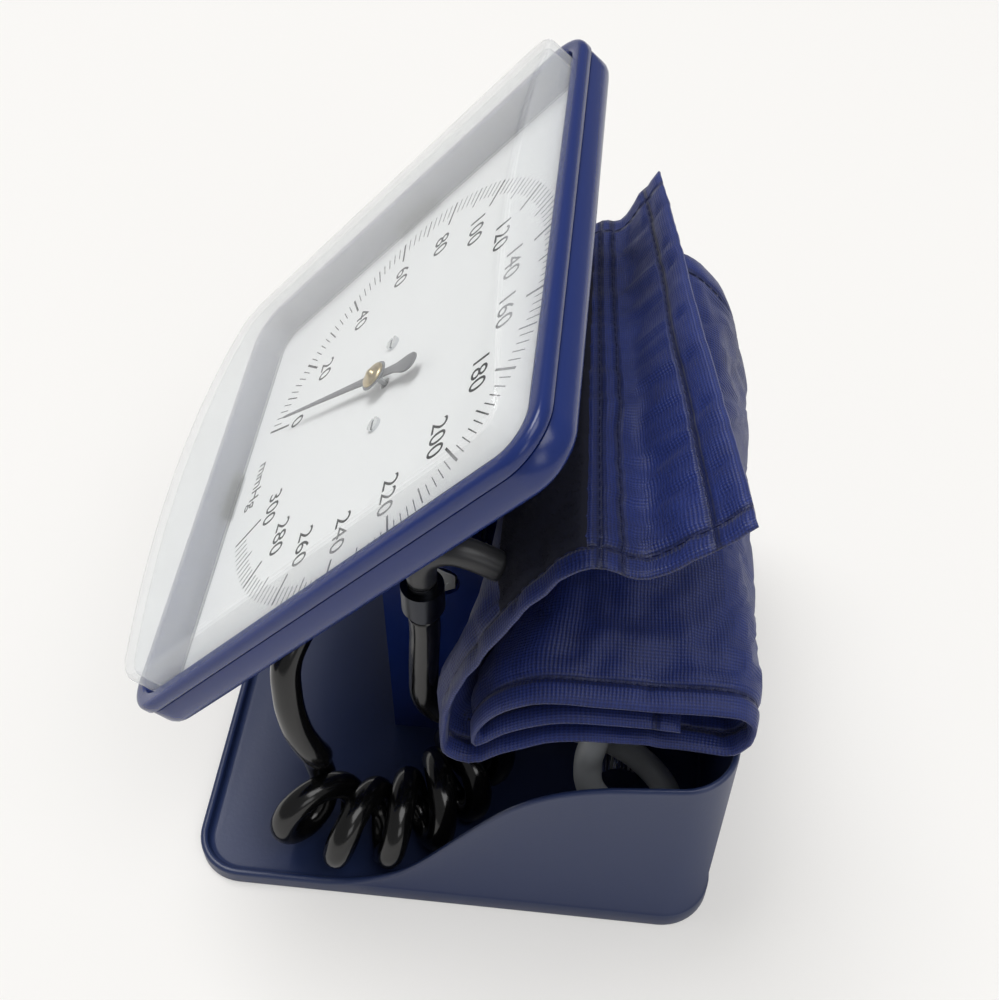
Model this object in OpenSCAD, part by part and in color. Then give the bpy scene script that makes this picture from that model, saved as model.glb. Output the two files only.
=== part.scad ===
// Desk blood-pressure gauge of the aneroid kind: a big square dial on a tilting neck,
// a moulded storage tray with S-curved sides, a coiled air hose, and an arm cuff with its bulb.
// Millimetres. +Z up, -Y to the front, where the reader sits. The origin is the centre of
// the tray's footprint on the desk. The head is built flat, in a frame of its own: X across
// the dial, Y up the dial, Z out of its face, with zero on the front plane of the bezel.

/* [Tray] */
// Width of the tray
tray_w = 160; // [154:1:176]
// Depth of the tray, front to back
tray_d = 160; // [158:1:176]
// Thickness of the tray's walls
tray_wall = 2.4; // [1.8:0.1:3]
// Thickness of the tray's floor
tray_floor = 3; // [2.4:0.1:3.6]
// Corner radius of the tray in plan
tray_corner = 15; // [10:1:18]
// Height of the low lip at the front
lip_h = 6; // [5:0.5:9]
// Height of the back wall
back_h = 82; // [78:1:84]
// Height of the skirt band round the foot of the walls
skirt_h = 7; // [5:0.5:9]
// How far the walls step in above the skirt
skirt_step = 0.6; // [0.3:0.1:1]
// Where the S-curve's slope would run out at the lip's height
slope_foot_y = -20; // [-26:1:-14]
// Steepness of the S-curve's middle, in degrees
slope_angle = 55; // [45:1:60]
// Rise of the side walls' top edge towards the back, in degrees
top_angle = 9; // [6:1:12]
// Radius at the foot of the S-curve
foot_r = 40; // [30:1:45]
// Radius at the shoulder of the S-curve
shoulder_r = 55; // [40:1:60]

/* [Neck and tilt hinge] */
// Width of the neck
neck_w = 40; // [36:1:46]
// Height of the tilt axis above the desk
pivot_z = 84; // [80:0.2:88]
// Tilt axis behind the tray's centre
pivot_y = -8; // [-12:1:-4]
// Radius of the neck's rounded top, which is also half its depth
neck_r = 17; // [15:0.5:18]
// Wall thickness of the hollow neck
neck_wall = 3; // [2.4:0.2:4]
// Width of the hinge lug on the head
lug_w = 22; // [18:1:24]
// Radius of the hinge lug round its bolt
lug_r = 12; // [10:0.5:13]
// Diameter of the hinge bolt
bolt_d = 6; // [5:0.5:7]
// Radial running clearance of the bolt in the lug
bolt_fit = 0.06; // [0.04:0.01:0.1]
// Thickness of each friction washer
washer_t = 0.8; // [0.5:0.1:1.2]
// Gap between parts that slide past each other
run_gap = 0.2; // [0.1:0.05:0.3]

/* [Dial head] */
// Lean of the dial back from upright, in degrees
lean = 42; // [38:1:46]
// Width of the bezel
head_w = 160; // [156:1:170]
// Height of the bezel along the dial
head_h = 158; // [154:1:168]
// Corner radius of the bezel
head_corner = 13; // [10:1:16]
// Width of the bezel's flat rim
rim_w = 4.5; // [3.5:0.5:6]
// Thickness of the bezel's outer edge
rim_t = 3.4; // [2.5:0.1:4.5]
// Depth of the dial below the bezel's rim
dial_depth = 9; // [8:0.5:11]
// Thickness of the dial plate
dial_t = 1; // [0.8:0.1:1.5]
// Thickness of the housing's back plate
back_t = 2; // [1.6:0.1:3]
// How far the housing is set in from the bezel's edge
back_inset = 0.6; // [0.3:0.1:1.2]
// Shadow gap between bezel and housing
parting_gap = 0.5; // [0.3:0.1:0.8]
// Thickness of the housing's side walls
shell_wall = 2; // [1.6:0.1:2.6]

/* [Lens] */
// Height of the lens's straight sides above the rim
lens_side_h = 6.5; // [5:0.5:9]
// Rise of the vaulted top above its sides
lens_rise = 6; // [4:0.5:8]
// Thickness of the lens
lens_t = 2; // [1.6:0.1:2.6]
// Gap round the lens in the bezel
lens_gap = 0.5; // [0.3:0.1:0.8]

/* [Movement] */
// Outer diameter of the round movement cover
cover_d = 78; // [76:1:80]
// How far the movement cover stands out behind the housing
cover_h = 24.5; // [24:0.5:26]
// Wall thickness of the movement cover
cover_wall = 2.2; // [1.8:0.1:2.6]
// Diameter of the movement's two plates
works_d = 64; // [62:1:66]
// Diameter of the pressure capsule
capsule_d = 34; // [30:1:36]
// Teeth on the pointer's pinion
pinion_teeth = 10; // [10:1:12]
// Teeth that a full sector wheel would have
sector_teeth = 80; // [72:4:88]
// Gear module
gear_module = 0.6; // [0.5:0.05:0.65]
// Full sweep of the pointer, in degrees
sweep = 320; // [300:5:330]
// Length of the pointer from its hub
pointer_len = 53; // [45:1:58]
// Diameter of the brass hub
hub_d = 8.5; // [7:0.5:10]

/* [Hose] */
// Outer diameter of the air hose
hose_d = 8.5; // [8:0.1:8.8]
// Middle radius of the hose's curls
curl_r = 10.4; // [10:0.1:10.8]

/* [Cuff and bulb] */
// Width of the cuff, across the arm's length
cuff_w = 144; // [130:1:148]
// Thickness of the cuff's padded cloth
cuff_t = 4.6; // [3.5:0.1:5]
// Diameter of the inflation bulb
bulb_d = 46; // [42:1:50]
// Length of the inflation bulb
bulb_len = 78; // [70:1:82]
// Outer diameter of the bladder's tubes
tube_d = 8; // [7:0.5:9]

/* [Hidden] */
$fn = 48;
eps = 0.01;

navy = "#1d2752";
navy_side = "#3a4668";
steel = "#b9bcc0";
brass = "#b8923e";
black = "#17181b";
clear_plastic = [0.85, 0.9, 0.95, 0.35];
cloth_navy = "#1a2450";

// ---- Plan and profile of the tray ----------------------------------------------------

module rounded_plan(w, d, r) {
    polygon([for (c = [[1, 1, 0], [-1, 1, 90], [-1, -1, 180], [1, -1, 270]])
        for (a = [0:7.5:90])
            [c[0] * (w / 2 - r) + r * cos(c[2] + a), c[1] * (d / 2 - r) + r * sin(c[2] + a)]]);
}

// Side view of the tray as [y, z]: a low lip, then an S-curve of two arcs up to the back.
slope_dir = [cos(slope_angle), sin(slope_angle)];
top_dir = [cos(top_angle), sin(top_angle)];
slope_foot = [slope_foot_y, lip_h];
back_top = [tray_d / 2, back_h];
gap_to_back = back_top - slope_foot;
shoulder_run = (gap_to_back[0] * top_dir[1] - gap_to_back[1] * top_dir[0])
    / (slope_dir[0] * top_dir[1] - slope_dir[1] * top_dir[0]);
shoulder_point = slope_foot + shoulder_run * slope_dir;
foot_tangent = foot_r * tan(slope_angle / 2);
shoulder_tangent = shoulder_r * tan((slope_angle - top_angle) / 2);
foot_centre = [slope_foot_y - foot_tangent, lip_h + foot_r];
shoulder_start = shoulder_point - shoulder_tangent * slope_dir;
shoulder_centre = shoulder_start + shoulder_r * [slope_dir[1], -slope_dir[0]];
arc_steps = 12;

tray_side = concat(
    [[-tray_d / 2 - 1, 0], [-tray_d / 2 - 1, lip_h]],
    [for (i = [0:arc_steps])
        foot_centre + foot_r * [sin(slope_angle * i / arc_steps), -cos(slope_angle * i / arc_steps)]],
    [for (i = [0:arc_steps])
        let (a = slope_angle + (top_angle - slope_angle) * i / arc_steps)
        shoulder_centre + shoulder_r * [-sin(a), cos(a)]],
    [back_top + top_dir, [tray_d / 2 + 1, 0]]);

neck_depth = 2 * neck_r;
screw_x = neck_w / 2 - neck_wall - 3;
screw_y = neck_r - neck_wall - 3;
screw_hole_d = 3.4;
screw_head_d = 6.4;

module at_neck_screws() {
    for (sx = [-1, 1])
        for (sy = [-1, 1])
            translate([sx * screw_x, pivot_y + sy * screw_y, 0])
                children();
}

module tray() {
    color(navy_side)
    difference() {
        intersection() {
            rotate([90, 0, 90])
                translate([0, 0, -tray_w])
                    linear_extrude(2 * tray_w)
                        polygon(tray_side);
            union() {
                linear_extrude(skirt_h)
                    rounded_plan(tray_w, tray_d, tray_corner);
                linear_extrude(back_h + 10)
                    rounded_plan(tray_w - 2 * skirt_step, tray_d - 2 * skirt_step,
                        tray_corner - skirt_step);
            }
        }
        translate([0, 0, tray_floor])
            linear_extrude(back_h + 10)
                rounded_plan(tray_w - 2 * tray_wall, tray_d - 2 * tray_wall,
                    tray_corner - tray_wall);
        at_neck_screws() {
            translate([0, 0, -eps])
                cylinder(d = screw_hole_d, h = tray_floor + 1);
            translate([0, 0, -eps])
                cylinder(d = screw_head_d, h = screw_head_t + 0.4);
        }
    }
}

// ---- Neck ----------------------------------------------------------------------------

floor_top = tray_floor;
slot_w = lug_w + 2 * washer_t + 4 * run_gap;
slot_bottom = pivot_z - neck_r - 3;
screw_post_d = 8;
screw_head_t = 1.4;
screw_len = 12;
nut_af = 10;
nut_t = 4;
bolt_head_d = 10.5;
bolt_head_t = 3.4;
cheek_recess = 4.2;

module neck() {
    color(navy)
    difference() {
        union() {
            translate([-neck_w / 2, pivot_y - neck_r, floor_top])
                cube([neck_w, neck_depth, pivot_z - floor_top]);
            translate([-neck_w / 2, pivot_y, pivot_z])
                rotate([0, 90, 0])
                    cylinder(r = neck_r, h = neck_w, $fn = 72);
        }
        // slot between the two cheeks, where the lug swings
        translate([-slot_w / 2, pivot_y - neck_r - 1, slot_bottom])
            cube([slot_w, neck_depth + 2, 3 * neck_r]);
        // bolt hole and the recesses for its head and nut
        translate([-neck_w, pivot_y, pivot_z])
            rotate([0, 90, 0])
                cylinder(d = bolt_d + 2 * bolt_fit, h = 2 * neck_w);
        for (side = [-1, 1])
            translate([side * (neck_w / 2 + 1), pivot_y, pivot_z])
                rotate([0, -side * 90, 0])
                    cylinder(d = bolt_head_d + 2.5, h = cheek_recess + 1);
        // hollow underside, with a post in each corner for a screw
        difference() {
            translate([-neck_w / 2 + neck_wall, pivot_y - neck_r + neck_wall, floor_top - eps])
                cube([neck_w - 2 * neck_wall, neck_depth - 2 * neck_wall,
                    slot_bottom - neck_wall - floor_top]);
            at_neck_screws()
                cylinder(d = screw_post_d, h = slot_bottom);
        }
        at_neck_screws()
            cylinder(d = screw_hole_d - 0.6, h = tray_floor + screw_len);
    }
}

module neck_screws() {
    color(steel)
    at_neck_screws()
        difference() {
            union() {
                translate([0, 0, 0.2])
                    cylinder(d = screw_head_d - 0.6, h = screw_head_t);
                translate([0, 0, 0.2])
                    cylinder(d = screw_hole_d - 0.7, h = screw_len);
            }
            translate([0, 0, 0.1])
                cross_slot(screw_head_d * 0.55, 0.8);
        }
}

module cross_slot(len, deep) {
    for (a = [0, 90])
        rotate([0, 0, a])
            translate([-len / 2, -0.35, -0.5])
                cube([len, 0.7, deep + 0.5]);
}

module along_x(x) {
    translate([x, pivot_y, pivot_z])
        rotate([0, 90, 0])
            children();
}

module hinge_bolt() {
    color(steel) {
        along_x(-neck_w / 2 + cheek_recess - bolt_head_t)
            difference() {
                union() {
                    cylinder(d = bolt_head_d, h = bolt_head_t);
                    cylinder(d = bolt_d, h = neck_w - cheek_recess + bolt_head_t - 0.6);
                }
                translate([0, 0, -eps])
                    cylinder(d = 5 / cos(30), h = bolt_head_t - 1, $fn = 6);
            }
    }
}

module hinge_nut() {
    color(steel)
    along_x(neck_w / 2 - cheek_recess)
        difference() {
            cylinder(d = nut_af / cos(30), h = nut_t, $fn = 6);
            translate([0, 0, -1])
                cylinder(d = bolt_d + 0.04, h = nut_t + 2);
        }
}

module friction_washers() {
    color(black)
    for (side = [-1, 1])
        along_x(side * (lug_w / 2 + run_gap + washer_t / 2) - washer_t / 2)
            difference() {
                cylinder(r = lug_r - 1, h = washer_t);
                translate([0, 0, -1])
                    cylinder(d = bolt_d + 0.3, h = washer_t + 2);
            }
}

// ---- The head's own frame --------------------------------------------------------------

// Tilt axis in the head's frame: below the dial's centre, and behind its front plane.
lug_u = -33.5;
lug_n = -60;
head_y = pivot_y - lug_u * sin(lean) + lug_n * cos(lean);
head_z = pivot_z - lug_u * cos(lean) - lug_n * sin(lean);

module in_head() {
    translate([0, head_y, head_z])
        rotate([90 - lean, 0, 0])
            children();
}

recess_w = head_w - 2 * rim_w;
recess_h = head_h - 2 * rim_w;
recess_corner = head_corner - rim_w + 1;
skirt_t = 1.4;
dial_w = recess_w + 2 * skirt_t;
dial_h = recess_h + 2 * skirt_t;
dial_top = -dial_depth;
dial_back = dial_top - dial_t;
shell_front = -rim_t - parting_gap;
shell_back = dial_back - 0.4 - back_t;
cover_back = shell_back - cover_h;
flange_d = cover_d + 18;
flange_t = 2.4;
flange_screws = 4;
flange_pcd = cover_d + 9;

module bezel() {
    color(navy)
    in_head() {
        difference() {
            union() {
                translate([0, 0, -rim_t])
                    linear_extrude(rim_t - 1)
                        rounded_plan(head_w, head_h, head_corner);
                // small step that stands for the rounded front edge
                translate([0, 0, -1])
                    linear_extrude(1)
                        rounded_plan(head_w - 1, head_h - 1, head_corner - 0.5);
                translate([0, 0, dial_top])
                    linear_extrude(dial_depth - 1)
                        rounded_plan(dial_w, dial_h, recess_corner + skirt_t);
                // snap ridges that click inside the housing's walls
                for (side = [-1, 1]) {
                    translate([side * dial_w / 2 - 0.3, -15, dial_top + 1])
                        cube([0.6, 30, 1.2]);
                    translate([-15, side * dial_h / 2 - 0.3, dial_top + 1])
                        cube([30, 0.6, 1.2]);
                }
            }
            translate([0, 0, dial_top - 1])
                linear_extrude(dial_depth + 2)
                    rounded_plan(recess_w, recess_h, recess_corner);
        }
    }
}

module back_housing() {
    outer_w = head_w - 2 * back_inset;
    outer_h = head_h - 2 * back_inset;
    inner_w = outer_w - 2 * shell_wall;
    inner_h = outer_h - 2 * shell_wall;
    round_off = 2;
    color(navy)
    in_head()
        difference() {
            union() {
                translate([0, 0, shell_back + round_off])
                    linear_extrude(shell_front - shell_back - round_off)
                        rounded_plan(outer_w, outer_h, head_corner - back_inset);
                // bevelled back edge
                translate([0, 0, shell_back + round_off / 2])
                    linear_extrude(round_off / 2)
                        rounded_plan(outer_w - 1, outer_h - 1, head_corner - back_inset - 0.5);
                translate([0, 0, shell_back])
                    linear_extrude(round_off / 2)
                        rounded_plan(outer_w - 3, outer_h - 3, head_corner - back_inset - 1.5);
            }
            translate([0, 0, shell_back + back_t])
                linear_extrude(shell_front - shell_back)
                    rounded_plan(inner_w, inner_h, head_corner - back_inset - shell_wall);
            translate([0, 0, shell_back - 1])
                cylinder(d = cover_d - 2 * cover_wall, h = back_t + 2, $fn = 96);
            at_cover_screws()
                translate([0, 0, shell_back - 1])
                    cylinder(d = 2.9, h = back_t + 2);
        }
}

module at_cover_screws() {
    for (i = [0:flange_screws - 1])
        rotate([0, 0, 45 + i * 360 / flange_screws])
            translate([flange_pcd / 2, 0, 0])
                children();
}

// Side view of the hinge lug as [u, n], from the cover's back to the bolt.
lug_root = cover_d / 2 - 2;
lug_side = [
    [-lug_root, cover_back + 3],
    [lug_u - lug_r, lug_n + 4],
    [lug_u - lug_r * 0.9, lug_n],
    [lug_u + lug_r * 0.94, lug_n + 4],
    [lug_u + lug_r + 11, cover_back + 0.5],
    [lug_u + lug_r + 11, cover_back + 3]];

nipple_angle = -42;
nipple_n = (shell_back + cover_back) / 2 - 0.5;
nipple_d = 5;

module movement_cover() {
    color(navy)
    in_head() {
        difference() {
            union() {
                translate([0, 0, cover_back])
                    cylinder(d = cover_d, h = cover_h, $fn = 96);
                translate([0, 0, shell_back - flange_t])
                    cylinder(d = flange_d, h = flange_t, $fn = 96);
                rotate([90, 0, 90])
                    translate([0, 0, -lug_w / 2])
                        linear_extrude(lug_w)
                            polygon(lug_side);
                translate([-lug_w / 2, lug_u, lug_n])
                    rotate([0, 90, 0])
                        cylinder(r = lug_r, h = lug_w, $fn = 72);
            }
            translate([0, 0, cover_back + cover_wall])
                cylinder(d = cover_d - 2 * cover_wall, h = cover_h, $fn = 96);
            translate([-lug_w, lug_u, lug_n])
                rotate([0, 90, 0])
                    cylinder(d = bolt_d + 2 * bolt_fit, h = 2 * lug_w);
            at_cover_screws()
                translate([0, 0, shell_back - flange_t - 1]) {
                    cylinder(d = 3.4, h = flange_t + 2);
                }
            at_nipple()
                translate([0, 0, -6])
                    cylinder(d = nipple_d + 0.2, h = 12);
        }
    }
}

module cover_screws() {
    color(steel)
    in_head()
        at_cover_screws()
            translate([0, 0, shell_back - flange_t]) {
                difference() {
                    translate([0, 0, -1.6])
                        cylinder(d = 5.6, h = 1.6);
                    translate([0, 0, -1.6])
                        cross_slot(3.4, 0.8);
                }
                translate([0, 0, -eps])
                    cylinder(d = 2.8, h = flange_t + back_t);
            }
}

// The lens is a shallow clear box with a barrel-vaulted top, open at the back.
lens_w = recess_w - 2 * lens_gap;
lens_h = recess_h - 2 * lens_gap;
lens_corner = recess_corner - lens_gap;
lens_foot = dial_top + 0.3;

function vault(half, side, rise, steps) = concat(
    [[half, lens_foot - 1], [half, side]],
    [for (i = [1:steps - 1])
        let (x = half * cos(180 * i / steps))
        [x, side + rise * (1 - pow(x / half, 2))]],
    [[-half, side], [-half, lens_foot - 1]]);

module vault_bar(w, h, side, rise) {
    rotate([90, 0, 0])
        translate([0, 0, -h / 2])
            linear_extrude(h)
                polygon(vault(w / 2, side, rise, 24));
}

module lens() {
    color(clear_plastic)
    in_head()
        difference() {
            intersection() {
                vault_bar(lens_w, lens_h + 2, lens_side_h, lens_rise);
                translate([0, 0, lens_foot])
                    linear_extrude(dial_depth + lens_side_h + lens_rise + 2)
                        rounded_plan(lens_w, lens_h, lens_corner);
            }
            intersection() {
                vault_bar(lens_w - 2 * lens_t, lens_h, lens_side_h - lens_t, lens_rise);
                translate([0, 0, lens_foot - 1])
                    linear_extrude(dial_depth + lens_side_h + lens_rise + 2)
                        rounded_plan(lens_w - 2 * lens_t, lens_h - 2 * lens_t,
                            lens_corner - lens_t);
            }
        }
}

// Small clear clips hold the lens's foot against the dial, one in the middle of each side.
clip_len = 18;
clip_t = 1.2;

module lens_clips() {
    color(clear_plastic)
    in_head() {
        for (side = [-1, 1]) {
            translate([side * (lens_w / 2 - lens_t - clip_t / 2 - 0.2), 0, dial_top + 2.2])
                cube([clip_t, clip_len, 3.8], center = true);
            translate([0, side * (lens_h / 2 - lens_t - clip_t / 2 - 0.2), dial_top + 2.2])
                cube([clip_len, clip_t, 3.8], center = true);
        }
    }
}

// ---- Dial ------------------------------------------------------------------------------

dial_screw_x = 16;
dial_post_d = 5;
staff_d = 1.6;

module dial_plate() {
    color("white")
    in_head()
        difference() {
            translate([0, 0, dial_back])
                linear_extrude(dial_t)
                    rounded_plan(dial_w, dial_h, recess_corner + skirt_t);
            translate([0, 0, dial_back - 1])
                cylinder(d = staff_d + 2, h = dial_t + 2);
            for (side = [-1, 1])
                translate([side * dial_screw_x, 0, dial_back - 1])
                    cylinder(d = 2.6, h = dial_t + 2);
        }
}

module dial_screws() {
    color(steel)
    in_head()
        for (side = [-1, 1])
            translate([side * dial_screw_x, 0, dial_top]) {
                difference() {
                    cylinder(d = 4.4, h = 1);
                    translate([-2.5, -0.35, 0.5])
                        cube([5, 0.7, 1]);
                }
                translate([0, 0, -dial_t - 3])
                    cylinder(d = 2.2, h = dial_t + 3 + eps);
            }
}

// ---- Movement --------------------------------------------------------------------------

pinion_r = gear_module * pinion_teeth / 2;
sector_r = gear_module * sector_teeth / 2;
sector_u = -(pinion_r + sector_r);
sector_swing = sweep * pinion_teeth / sector_teeth;
works_t = 1.5;
bridge_top = dial_back - 2.2;
base_top = bridge_top - 8;
base_bottom = base_top - works_t;
gear_n = (bridge_top - works_t + base_top) / 2;
gear_t = 1;
pillar_d = 5;
pillar_r = works_d / 2 - 4;
pillar_angles = [35, 145, 210, 330];
capsule_u = -18;
capsule_front = base_bottom - 5.6;
capsule_back = cover_back + cover_wall + 1;
pin_r = 2.6;
tail_pin_d = 1;
pin_gap = 0.3;
lever_t = 1;
rocker_n = base_bottom - 3;
rocker_u = sector_u + pin_r * sin(sector_swing / 2) + tail_pin_d / 2 + pin_gap + lever_t / 2;
pin_n = gear_n - gear_t / 2 - 1.6;
rocker_lever = pin_n + 0.6 - rocker_n;
rocker_swing = 2 * pin_r * sin(sector_swing / 2) / rocker_lever * 180 / PI;
pusher_arm = capsule_u - rocker_u;
pusher_travel = pusher_arm * rocker_swing * PI / 180;
echo("sector swing", sector_swing, "rocker swing", rocker_swing, "pusher travel", pusher_travel);

module works_base_plate() {
    color(brass)
    in_head()
        difference() {
            translate([0, 0, base_bottom])
                cylinder(d = works_d, h = works_t);
            translate([0, 0, base_bottom - 1])
                cylinder(d = staff_d * 0.6 + 0.12, h = works_t + 2);
            translate([0, sector_u, base_bottom - 1])
                cylinder(d = staff_d * 0.6 + 0.12, h = works_t + 2);
            for (a = pillar_angles)
                rotate([0, 0, a])
                    translate([pillar_r, 0, base_bottom - 1])
                        cylinder(d = 2.2, h = works_t + 2);
            // window where the rocker's lever comes through
            translate([-pin_r - 1.2, rocker_u - 3, base_bottom - 1])
                cube([2.4, 4.6, works_t + 2]);
            // lightening window beside the pinion
            translate([-9, 6, base_bottom - 1])
                cube([18, 16, works_t + 2]);
        }
}

module works_pillars() {
    color(brass)
    in_head() {
        // long pillars carry the base plate off the cover's back
        for (a = pillar_angles)
            rotate([0, 0, a])
                translate([pillar_r, 0, 0]) {
                    translate([0, 0, cover_back + cover_wall])
                        cylinder(d = pillar_d, h = base_bottom - cover_back - cover_wall);
                    translate([0, 0, base_bottom - eps])
                        cylinder(d = 2, h = works_t + 2 * eps);
                    translate([0, 0, base_top])
                        cylinder(d = pillar_d - 1, h = 1);
                }
        // posts at each side of the staff carry the bridge and take the dial's screws
        for (side = [-1, 1])
            translate([side * dial_screw_x, 0, base_top])
                difference() {
                    union() {
                        cylinder(d = dial_post_d, h = bridge_top - works_t - base_top);
                        cylinder(d = dial_post_d - 1.4, h = dial_back - base_top);
                    }
                    translate([0, 0, dial_back - base_top - 4])
                        cylinder(d = 2.24, h = 5);
                }
    }
}

module bridge_shape() {
    union() {
        translate([-dial_screw_x - 4, -4])
            square([2 * dial_screw_x + 8, 8]);
        translate([-5, sector_u - 4])
            square([10, -sector_u + 4]);
    }
}

module works_bridge() {
    color(brass)
    in_head()
        difference() {
            translate([0, 0, bridge_top - works_t])
                linear_extrude(works_t)
                    bridge_shape();
            for (p = [[0, 0], [0, sector_u]])
                translate([p[0], p[1], bridge_top - works_t - 1])
                    cylinder(d = staff_d + 0.12, h = works_t + 2);
            for (side = [-1, 1])
                translate([side * dial_screw_x, 0, bridge_top - works_t - 1])
                    cylinder(d = dial_post_d - 1.3, h = works_t + 2);
        }
}

module bridge_screws() {
    color(steel)
    in_head()
        for (side = [-1, 1])
            translate([side * dial_screw_x, 0, bridge_top])
                difference() {
                    cylinder(d = 6, h = 1.2, $fn = 6);
                    translate([0, 0, -1])
                        cylinder(d = dial_post_d - 1.36, h = 4);
                }
}

// Two corrugated diaphragms soldered rim to rim, on a short stem.
module pressure_capsule() {
    half = (capsule_front - capsule_back) / 2;
    ridges = 4;
    outline = concat(
        [[0, 0], [3, 0]],
        [for (i = [0:ridges * 4])
            let (r = 4 + (capsule_d / 2 - 5) * i / (ridges * 4))
            [r, half * 0.25 + 0.35 * sin(360 * i / 4)]],
        [[capsule_d / 2, half - 0.5], [capsule_d / 2, half + 0.5]],
        [for (i = [ridges * 4:-1:0])
            let (r = 4 + (capsule_d / 2 - 5) * i / (ridges * 4))
            [r, half * 1.75 - 0.35 * sin(360 * i / 4)]],
        [[3, 2 * half], [0, 2 * half]]);
    color(steel)
    in_head()
        translate([0, capsule_u, capsule_back]) {
            difference() {
                rotate_extrude($fn = 60)
                    polygon(outline);
                translate([0, 0, 2 * half - 2.4])
                    cylinder(d = 2.2, h = 4);
            }
            translate([0, 0, -1])
                cylinder(d = 8, h = 1 + eps);
        }
}

module capsule_pusher() {
    color(brass)
    in_head()
        translate([0, capsule_u, 0]) {
            translate([0, 0, capsule_front - 2.2])
                cylinder(d = 2, h = rocker_n - 0.8 - capsule_front + 2.2);
            translate([0, 0, capsule_front + 0.15])
                cylinder(d = 4, h = 0.6);
        }
}

// The rocker turns the capsule's push into the sector's swing.
module rocker() {
    color(steel)
    in_head() {
        translate([-8, rocker_u, rocker_n])
            rotate([0, 90, 0])
                cylinder(d = 1.4, h = 16);
        // arm over the capsule's pusher
        translate([-1, rocker_u, rocker_n - 0.5])
            cube([2, pusher_arm + 1.4, 1]);
        // upright lever beside the sector's tail pin
        translate([-pin_r - 0.6, rocker_u - lever_t / 2, rocker_n])
            cube([1.4, lever_t, rocker_lever]);
    }
}

module rocker_stand() {
    color(brass)
    in_head()
        for (side = [-1, 1])
            difference() {
                translate([side * 6.4 - 0.6, rocker_u - 2, rocker_n - 1.8])
                    cube([1.2, 4, base_bottom - rocker_n + 1.8]);
                translate([side * 6.4 - 2, rocker_u, rocker_n])
                    rotate([0, 90, 0])
                        cylinder(d = 1.52, h = 4);
            }
}

// One gear tooth's outline, root to tip, pointing along +X at pitch radius r.
tooth_up = 0.75 * gear_module;
tooth_down = 1.15 * gear_module;
tooth_root = 1.15 * gear_module;
tooth_tip = 0.55 * gear_module;

module tooth(r) {
    polygon([
        [r - tooth_down - 0.3, -tooth_root / 2],
        [r - tooth_down - 0.3, tooth_root / 2],
        [r + tooth_up, tooth_tip / 2],
        [r + tooth_up, -tooth_tip / 2]]);
}

// At rest the sector leans to one end of its swing, its gap facing the pinion's tooth.
module sector_gear() {
    pitch = 360 / sector_teeth;
    rest = 90 - sector_swing / 2;
    half_teeth = ceil(sector_swing / pitch / 2) + 2;
    spread = (half_teeth + 0.5) * pitch;
    rim_r = sector_r - tooth_down;
    shift = (rest / pitch) - floor(rest / pitch);
    color(brass)
    in_head()
        translate([0, sector_u, 0]) {
            translate([0, 0, gear_n - gear_t / 2])
                linear_extrude(gear_t)
                    union() {
                        polygon(concat(
                            [for (k = [-8:8]) rim_r * [cos(rest + spread * k / 8),
                                sin(rest + spread * k / 8)]],
                            [for (k = [8:-1:-8]) (rim_r - 2.6) * [cos(rest + spread * k / 8),
                                sin(rest + spread * k / 8)]]));
                        for (side = [-1, 1])
                            rotate([0, 0, rest + side * (spread - 2.4)])
                                translate([0, -0.9])
                                    square([rim_r - 1, 1.8]);
                        circle(r = 1.8);
                        rotate([0, 0, rest + 90])
                            translate([0, -0.9])
                                square([pin_r + 0.8, 1.8]);
                        for (k = [-half_teeth:half_teeth])
                            rotate([0, 0, 90 + (k - 0.5) * pitch - round(sector_swing / 2 / pitch) * pitch])
                                tooth(sector_r);
                    }
            // arbor and tail pin
            translate([0, 0, base_bottom + 0.1])
                cylinder(d = staff_d * 0.6, h = works_t + 0.2);
            translate([0, 0, base_top + 0.2])
                cylinder(d = staff_d, h = bridge_top - base_top);
            rotate([0, 0, rest + 90])
                translate([pin_r, 0, pin_n - 0.3])
                    cylinder(d = tail_pin_d, h = gear_n - pin_n + 0.3);
        }
}

module pointer_staff() {
    color(steel)
    in_head() {
        translate([0, 0, base_bottom + 0.1])
            cylinder(d = staff_d * 0.6, h = works_t + 0.1);
        translate([0, 0, base_top + 0.1])
            cylinder(d = staff_d, h = pointer_n - base_top);
        translate([0, 0, gear_n - 1.4])
            linear_extrude(2.8)
                union() {
                    circle(r = pinion_r - tooth_down);
                    for (i = [0:pinion_teeth - 1])
                        rotate([0, 0, -90 + i * 360 / pinion_teeth])
                            tooth(pinion_r);
                }
    }
}

// Flat spiral spring between the staff's collet and a stud on the bridge.
spring_turns = 5;
spring_in = 1.5;
spring_out = 6.5;
spring_t = 0.18;
spring_n = bridge_top + 0.7;

module hairspring() {
    steps = 24 * spring_turns;
    function coil(i, side) =
        let (a = 360 * spring_turns * i / steps,
            r = spring_in + (spring_out - spring_in) * i / steps + side * spring_t / 2)
        [r * cos(a), r * sin(a)];
    color("#6b7890")
    in_head() {
        translate([0, 0, spring_n])
            linear_extrude(0.9)
                polygon(concat(
                    [for (i = [0:steps]) coil(i, 1)],
                    [for (i = [steps:-1:0]) coil(i, -1)]));
        // collet round the staff, and the stud that holds the outer end
        translate([0, 0, spring_n])
            difference() {
                cylinder(r = spring_in + spring_t / 2, h = 0.9);
                translate([0, 0, -1])
                    cylinder(d = staff_d + 0.3, h = 3);
            }
        translate([spring_out, -0.6, bridge_top])
            cube([1.2, 1.2, 1.8]);
    }
}

// ---- Pointer ---------------------------------------------------------------------------

pointer_n = dial_top + 3.2;
pointer_t = 0.5;
tail_len = 19;
zero_angle = 180 + (360 - sweep) / 2;

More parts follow.
